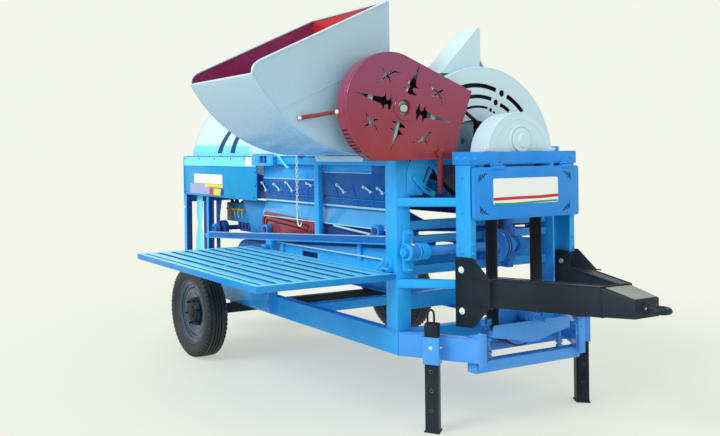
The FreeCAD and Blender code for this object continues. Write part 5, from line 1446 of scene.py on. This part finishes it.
def far_side():
    """Pressed beads, rivets and an inspection hatch on the far panel."""
    y = 754.1
    beads = [[(x0, y, z), (x0 + 30, y + 2, z), (x1 - 30, y + 2, z), (x1, y, z)]
        for x0, x1 in ((-860, -120), (60, 940), (1180, 2000)) for z in (1440, 1560)]
    add("far_panel_beads", SHEET_BLUE, *tubes(7, *beads))
    bolts("far_panel_rivets", [(-930 + 197 * i, y, z, OUT_FAR) for z in (1348, 1672)
        for i in range(16)], 7, SHEET_BLUE)
    edge = [(x, y + 4, z) for x, z in rounded_box(992, 1392, 1133, 1623, 14)]
    hinges = [round_bar((986, y + 8, z - 24), (986, y + 8, z + 24), 7, 1, 16) for z in (1430, 1585)]
    add("far_hatch", DOOR_BLUE, plate("y", y, y + 4, rounded_box(985, 1385, 1140, 1630, 18),
        edge=1.5), tube(edge, 2.2, closed=True), *hinges, slot="sheet_blue")
    catches = []
    for z in (1450, 1565):
        catches.append(block((1112, y + 3, z - 12), (1160, y + 10, z + 12)))
        catches.append(turned(CATCH, (1124, y + 9, z), OUT_FAR, 20))
    add("far_hatch_catches", STEEL, *catches)
    add("far_panel_seams", SHEET_BLUE, *tubes(3, *[[(x, y, 1330), (x, y, 1687)]
        for x in (-30, 935)], sides=2))
    add("far_grip", BLACK_PAINT, tube([(1560, y, 1500), (1560, y + 34, 1500), (1740, y + 34, 1500),
        (1740, y, 1500)], 7.5))


def rear_face():
    """Beads, rivets and a grab handle on the rear panel, and the bolts round the rear disc."""
    x = -984.2
    beads = [[(x, side * 160, z), (x - 2, side * 190, z), (x - 2, side * 610, z),
        (x, side * 640, z)] for side in SIDES for z in (1330, 1430, 1530)]
    add("rear_panel_beads", SHEET_BLUE, *tubes(7, *beads))
    rivets = [(x, y, z, OUT_BACK) for z in (1270, 1670) for y in range(-700, 701, 175) if z < 1500
        or abs(y) > 130]
    bolts("rear_panel_rivets", rivets, 7, SHEET_BLUE)
    add("rear_grip", BLACK_PAINT, tube([(x, -110, 1345), (x - 36, -110, 1345), (x - 36, 110, 1345),
        (x, 110, 1345)], 7.5))
    x = -966.1
    bolts("rear_disc_bolts", [(x, *swing(COVER_AXIS, 615, 12 + 13 * i), OUT_BACK)
        for i in range(13)], 8, WHITE_PAINT)
    lip = [(-222, 1943), (222, 1943), (199, 2132), (-199, 2132)]
    add("rear_disc_hatch", WHITE_PAINT, plate("x", x - 4, x, [(-230, 1935), (230, 1935),
        (205, 2140), (-205, 2140)], edge=1.5), tube(at_x(x - 4, lip), 2.2, closed=True))
    knobs = ((-150, 2112), (150, 2112), (-175, 1962), (175, 1962))
    add("rear_hatch_knobs", STEEL, *[turned(KNOB, place, OUT_BACK, 20)
        for place in at_x(x - 3, knobs)])
    bolts("rear_bearing_bolts", [(-984, y, 1640, OUT_BACK) for y in (-135, 135)], 10, CAST_PAINT)


def deck_rivets():
    """Rivets along the two long edges of the deck."""
    places = [(x, side * 735, 1694.1, UP) for side in SIDES for x in range(-900, 2026, 225)
        if side == FAR or x < 1200]
    bolts("deck_rivets", places, 6, BODY_BLUE)


for name, side in (("near", NEAR), ("far", FAR)):
    wheel(name, side)
for make in (hopper, feed_bearing_flanges, cover_disc, cover_straps, cover_bands, pulley_hood,
        outlet_hood, feed_guard, feed_pulley, belt_door, portal_details, drawbar):
    make()
for name, side in (("near", NEAR), ("far", FAR)):
    support_leg(name, side)
for make in (nose_details, tension_details, counter_details, adjusting_quadrant, main_belt,
        near_panel, inlet_block, side_screens, lower_guard, hook_chain, rear_bay, platform_floor,
        rail_face, far_side, rear_face, deck_rivets):
    make()


# ---------------------------------------------------------------- floor, light and camera
STUDIO_WIDTH = 240
SUNS = {  # name: towards, strength, angle across in degrees, colour
    "key": ((0.10, -0.95, 0.62), 1.9, 24, (1.0, 0.99, 0.96)),
    "front": ((1.0, -0.15, 0.45), 0.30, 30, (0.94, 0.97, 1.0)),
}


def floor_and_light():
    scene = bpy.context.scene
    scene.view_settings.view_transform = "Standard"
    scene.world = world = bpy.data.worlds.new("studio")
    world.use_nodes = True
    sky = world.node_tree.nodes["Background"].inputs
    sky["Color"].default_value = rgb(0.905, 0.925, 0.835)
    sky["Strength"].default_value = 1.0
    select()
    bpy.ops.mesh.primitive_plane_add(size=STUDIO_WIDTH)
    floor = bpy.context.object
    floor.name = "studio_floor"
    made, _, shader = material("studio_floor")
    for label, value in {"Base Color": rgb(0.352, 0.357, 0.326),
            "Emission Color": rgb(0.905, 0.925, 0.855), "Emission Strength": 0.5, "Roughness": 0.95,
            "Specular IOR Level": 0.0}.items():
        shader.inputs[label].default_value = value
    floor.data.materials.append(made)
    for name, (toward, strength, width, colour) in SUNS.items():
        lamp = bpy.data.lights.new(name, "SUN")
        lamp.energy, lamp.angle, lamp.color = strength, math.radians(width), colour
        holder = bpy.data.objects.new(name, lamp)
        holder.rotation_euler = Vector(toward).to_track_quat("Z", "Y").to_euler()
        bpy.context.collection.objects.link(holder)


def camera():
    """Standing in front on the feeding side, at about a person's eye height."""
    lens = bpy.data.cameras.new("camera")
    lens.lens, lens.clip_end = 41.38, 200
    lens.shift_x, lens.shift_y = 0.2222, -0.0915
    holder = bpy.data.objects.new("camera", lens)
    holder.location = spot(6349.7, -4165.7, 1730.9)
    look = Vector((-0.8978, 0.4404, 0.0003))
    tilt = Matrix.Rotation(-0.0116, 3, "Z").to_quaternion()
    holder.rotation_mode = "QUATERNION"
    holder.rotation_quaternion = look.to_track_quat("-Z", "Y") @ tilt
    bpy.context.collection.objects.link(holder)
    bpy.context.scene.camera = holder


floor_and_light()
camera()
